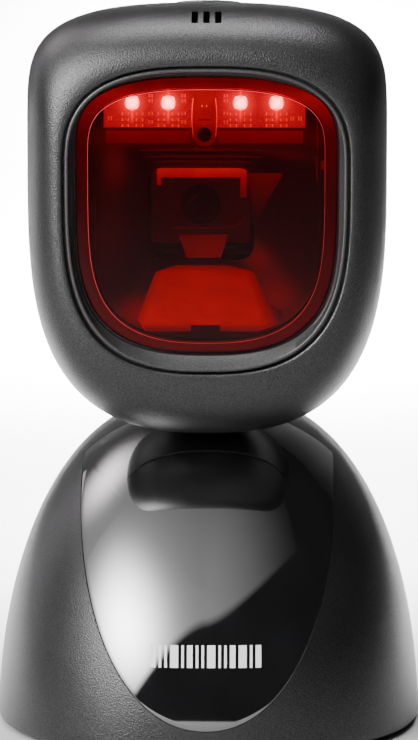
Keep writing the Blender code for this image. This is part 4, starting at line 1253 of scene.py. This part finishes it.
def make_ramp():
    """The pale plate on the tunnel's floor, with a clip notch in its front edge."""
    outline = [(-12.2, -30.6), (10.2, -30.6), (14.9, -27.9), (15.0, -24.9), (12.0, -22.5), (9.3, -12.3)]
    outline += [(4.0, -10.0), (-6.4, -10.0), (-10.6, -12.3), (-13.8, -27.0)]
    front, back = (end.widest_z - end.down for end in (TUNNEL_MOUTH, TUNNEL_THROAT))
    floor = [front + (back - front) * tunnel_share(y) for _, y in outline]
    rings = []
    for lift, scale in ((0.9, 1.0), (1.45, 1.0), (1.6, 0.98)):
        rings.append([Vector((x * scale, y, z + lift)) for (x, y), z in zip(outline, floor)])
    notch_x, half = -0.27, 2.9
    notch = block("notch", (notch_x - half, -33, 78), (notch_x + half, -28.6, 88), 0.2)
    wear(carve(loft("floor_plate", rings), notch), "head", "ramp", "diffuser_ramp")

    corners = [(3.5, -2.3), (5.0, 2.3), (-5.0, 2.3), (-3.5, -2.3)]
    baffle = plate("baffle_plate", corners, [(-8.6, 0.96), (-8.45, 1.0), (-7.6, 1.0)], (-1.0, 96.8))
    lit(baffle, "ramp", "baffle_lit", (0.05, 0.01, 0.01), [(94, 0.23), (99.5, 0.16)], "light_baffle")


def make_imager():
    """The camera module: its body, a lit frame in front, the stepped lens hood and the lens."""
    body = block("camera_body", (IMAGER_X - 10, -4.2, 97), (IMAGER_X + 10, 7, 113), 0.5)
    carve(body, block("hood", (IMAGER_X - 5.0, -8, 100.3), (IMAGER_X + 5.0, -0.5, 109.3), 0.4))
    levels = [(97, 0.03), (108, 0.026), (110.3, 0.045), (112, 0.11)]
    lit(body, "black", "camera_lit", (0.014, 0.009, 0.01), levels, "imager_housing", roughness=0.7)

    top, bar_z, left, right = 112.3, 110.4, -10.5, 7.7
    path = [(left, 108.8), (left, top), (right, top), (right, 106.3), (6.4, 106.3), (6.4, bar_z)]
    path += [(-9.6, bar_z), (-9.6, 108.8)]
    trim = plate("camera_trim", path, [(-4.65, 1), (-4.35, 1)])
    levels = [(106.3, 0.1), (108.8, 0.4), (110.4, 0.6), (112.3, 1.0)]
    lit(trim, "black", "trim_lit", (0.06, 0.01, 0.01), levels)
    points = [(-7.6, -6.9, 100.4), (2.8, -6.9, 100.4), (5.4, -6.9, 100.8), (6.9, -6.9, 101.7)]
    sill = wire("camera_sill", [*points, (7.5, -6.9, 103.0)], 0.1)
    lit(sill, "black", "sill_lit", (0.06, 0.01, 0.01), [(100, 0.16), (103, 0.1)])

    profile = [(0, 3.0), (0.12, 3.6), (0.5, 3.95), (2.6, 4.0)]
    barrel = turned("lens_tube", (IMAGER_X, -3.4, LENS_Z), (0, 1, 0), profile, 64)
    carve(barrel, peg("seat", (IMAGER_X, -4, LENS_Z), 2.7, 1.8))
    levels = [(98, 0.003), (110, 0.006)]
    lit(barrel, "black", "barrel_dark", (0.006, 0.004, 0.004), levels, "lens_barrel", roughness=0.7)
    profile = [(0, 0.4), (0.03, 1.1), (0.12, 1.8), (0.28, 2.35), (0.7, 2.4)]
    glass = turned("lens_front", (IMAGER_X, -3.2, LENS_Z), (0, 1, 0), profile, 64)
    wear(glass, "head", "lens", "lens_glass")


def make_slot_shade_sheet():
    """A dark sheet behind the sound slots, which hides the inside: painted shade that keeps the slots dark."""
    shade_sheet = block("slot_shade_sheet", (-4.6, 3.2, -2.4), (4.6, 3.5, 2.4), 0.1)
    wear(moved(shade_sheet, GRILLE), "head", "foam")


def finish_cad_nodes():
    """What keeps its CAD shape takes its slot's finish."""
    slots = {part["node"]: part["material_slot"] for part in frame["record"]["subparts"]}
    for name, node in frame["nodes"].items():
        if not node.hide_render:
            node.data.materials.clear()
            node.data.materials.append(FINISHES[slots[name]])


# ---------------------------------------------------------------- stage


def make_floor():
    """A pale sweep: level under the scanner, curving up far behind it."""
    reach, bend, bend_y = 3000, 800, 1200
    bent = [(bend_y + bend * out, bend * up) for out, up in quarter(*(90 * i / 16 for i in range(17)))]
    profile = [(-reach, 0), *bent, (bend_y + bend, reach)]
    bm = bmesh.new()
    rows = [[bm.verts.new((x, y, z)) for x in (-reach, reach)] for y, z in profile]
    for a, b in zip(rows, rows[1:]):
        bm.faces.new((a[0], a[1], b[1], b[0]))
    floor = from_bmesh("studio_sweep", bm)
    s = Shader("pale_paper")
    tone = s.mix(s.noise(400, 3), (0.43, 0.43, 0.43), (0.46, 0.46, 0.46))
    floor.data.materials.append(s.put(Base_Color=tone, Roughness=0.9))


def softbox(name, place, target, size, power, colour=(1, 1, 1)):
    light = bpy.data.lights.new(name, "AREA")
    light.shape = "RECTANGLE"
    light.size, light.size_y = size
    light.energy = power
    light.color = colour
    obj = bpy.data.objects.new(name, light)
    obj.location = place
    obj.rotation_euler = (Vector(target) - Vector(place)).to_track_quat("-Z", "Y").to_euler()
    bpy.context.scene.collection.objects.link(obj)
    return obj


SUBJECT = Vector((0, -0.03, 0.06))
# The gloss panel mirrors one big lit wall. The wall's lower edge runs up from low in front on the left.
WALL_CORNER = Vector((-0.24, -0.93, 0.3))
WALL_ALONG = Vector((0.74, 0.014, 0.673)).normalized()
WALL_AWAY = Vector((-0.375, 0.839, 0.395)).normalized()
WALL_MIDDLE = (-0.1, 0.38)
WALL_FADE = 0.06


def wall_point(along, away, behind=0.0):
    return WALL_CORNER + WALL_ALONG * along + WALL_AWAY * away + WALL_ALONG.cross(WALL_AWAY) * behind


def graded(light, middle, sides, widths, sharpness=2, edge=None):
    """Dims an area light away from its middle, and towards a soft edge: a point, a direction and a width."""
    light.data.use_nodes = True
    nodes = Nodes(light.data.node_tree)
    here = nodes.node("ShaderNodeNewGeometry").outputs["Position"]
    squares = []
    for side, width in zip(sides, widths):
        share = nodes.over(nodes.along(here, middle, side), width)
        squares.append(nodes.times(share, share))
    glow = nodes.decay(nodes.math("POWER", nodes.plus(*squares), sharpness / 2))
    if edge:
        start, direction, width = edge
        fade = nodes.over(nodes.along(here, start, direction), width, clamp=True)
        glow = nodes.times(glow, fade)
    nodes.feed(nodes.tree.nodes["Emission"].inputs["Strength"], glow)


def wall_glow(name, low, high, widths, sharpness, peak, behind=0.0):
    """A light on the wall, from low to high along its sides. Its lower edge is soft."""
    size = [b - a for a, b in zip(low, high)]
    place = wall_point((low[0] + high[0]) / 2, (low[1] + high[1]) / 2, behind)
    light = softbox(name, place, SUBJECT, size, peak * pi * size[0] * size[1])
    facing = WALL_ALONG.cross(WALL_AWAY).normalized()
    light.rotation_euler = Matrix((WALL_ALONG, facing.cross(WALL_ALONG), facing)).transposed().to_euler()
    edge = (WALL_CORNER, WALL_AWAY, WALL_FADE)
    graded(light, wall_point(*WALL_MIDDLE), (WALL_ALONG, WALL_AWAY), widths, sharpness, edge)


def light_stage():
    wall_glow("key", (-0.55, 0.0), (0.4, 1.0), (0.2, 0.28), 2, 28)
    wall_glow("lit_wall", (-0.7, 0.0), (2.4, 3.2), (0.5, 0.67), 1, 2.8, 0.01)
    softbox("overhead", (-0.03, 0.02, 0.95), SUBJECT, (0.5, 0.42), 7, (1.0, 0.97, 1.0))
    high_left = softbox("high_left", (-0.57, 0.35, 0.73), SUBJECT, (0.9, 0.9), 16, (1.0, 0.93, 0.97))
    turn = high_left.rotation_euler.to_matrix()
    graded(high_left, high_left.location, (turn.col[0], turn.col[1]), (0.2, 0.2))
    softbox("back_left", (-0.75, 0.6, 0.25), SUBJECT, (0.4, 0.5), 0.7, (0.97, 0.96, 1.0))
    washes = [  # pools of light on the floor: name, x, y, size and power
        ("near_wash", 0, 0.28, (0.3, 0.36), 6),
        ("backdrop_wash", 0, 1.0, (0.3, 1.1), 46),
        ("left_wash", -0.52, 0.72, (0.4, 0.4), 4),
    ]
    for name, x, y, size, power in washes:
        wash = softbox(name, (x, y, 0.31), (x, y, 0), size, power)
        wash.data.spread = radians(60)
    world = bpy.data.worlds.new("studio")
    world.use_nodes = True
    background = world.node_tree.nodes["Background"].inputs
    background["Color"].default_value = (0.95, 0.97, 1.0, 1)
    background["Strength"].default_value = 0.02
    bpy.context.scene.world = world


CAMERA_PITCH = 7.75  # degrees below level
CAMERA_YAW = 0.85  # degrees round to the right
CAMERA_DISTANCE = 0.996
CAMERA_HEIGHT = 0.206
CAMERA_LENS = 239.2


def make_camera():
    data = bpy.data.cameras.new("camera")
    data.lens = CAMERA_LENS
    data.sensor_width = 36
    data.clip_start, data.clip_end = 0.05, 20
    camera = bpy.data.objects.new("camera", data)
    yaw = radians(CAMERA_YAW)
    camera.location = (CAMERA_DISTANCE * sin(yaw), -CAMERA_DISTANCE * cos(yaw), CAMERA_HEIGHT)
    camera.rotation_euler = (radians(90 - CAMERA_PITCH), 0, yaw)
    bpy.context.scene.collection.objects.link(camera)
    bpy.context.scene.camera = camera


FINISHES = make_finishes()
make_camera()
make_floor()
light_stage()

make_base_housing()
make_front_panel()
make_panel_mark()
make_neck()
make_screws()
make_jack()
make_front_housing()
make_rear_housing()
make_button()
make_bezel()
make_window()
make_shroud()
make_carrier_details()
make_led_board()
make_board_parts()
make_clamp()
make_ramp()
make_imager()
make_slot_shade_sheet()
finish_cad_nodes()
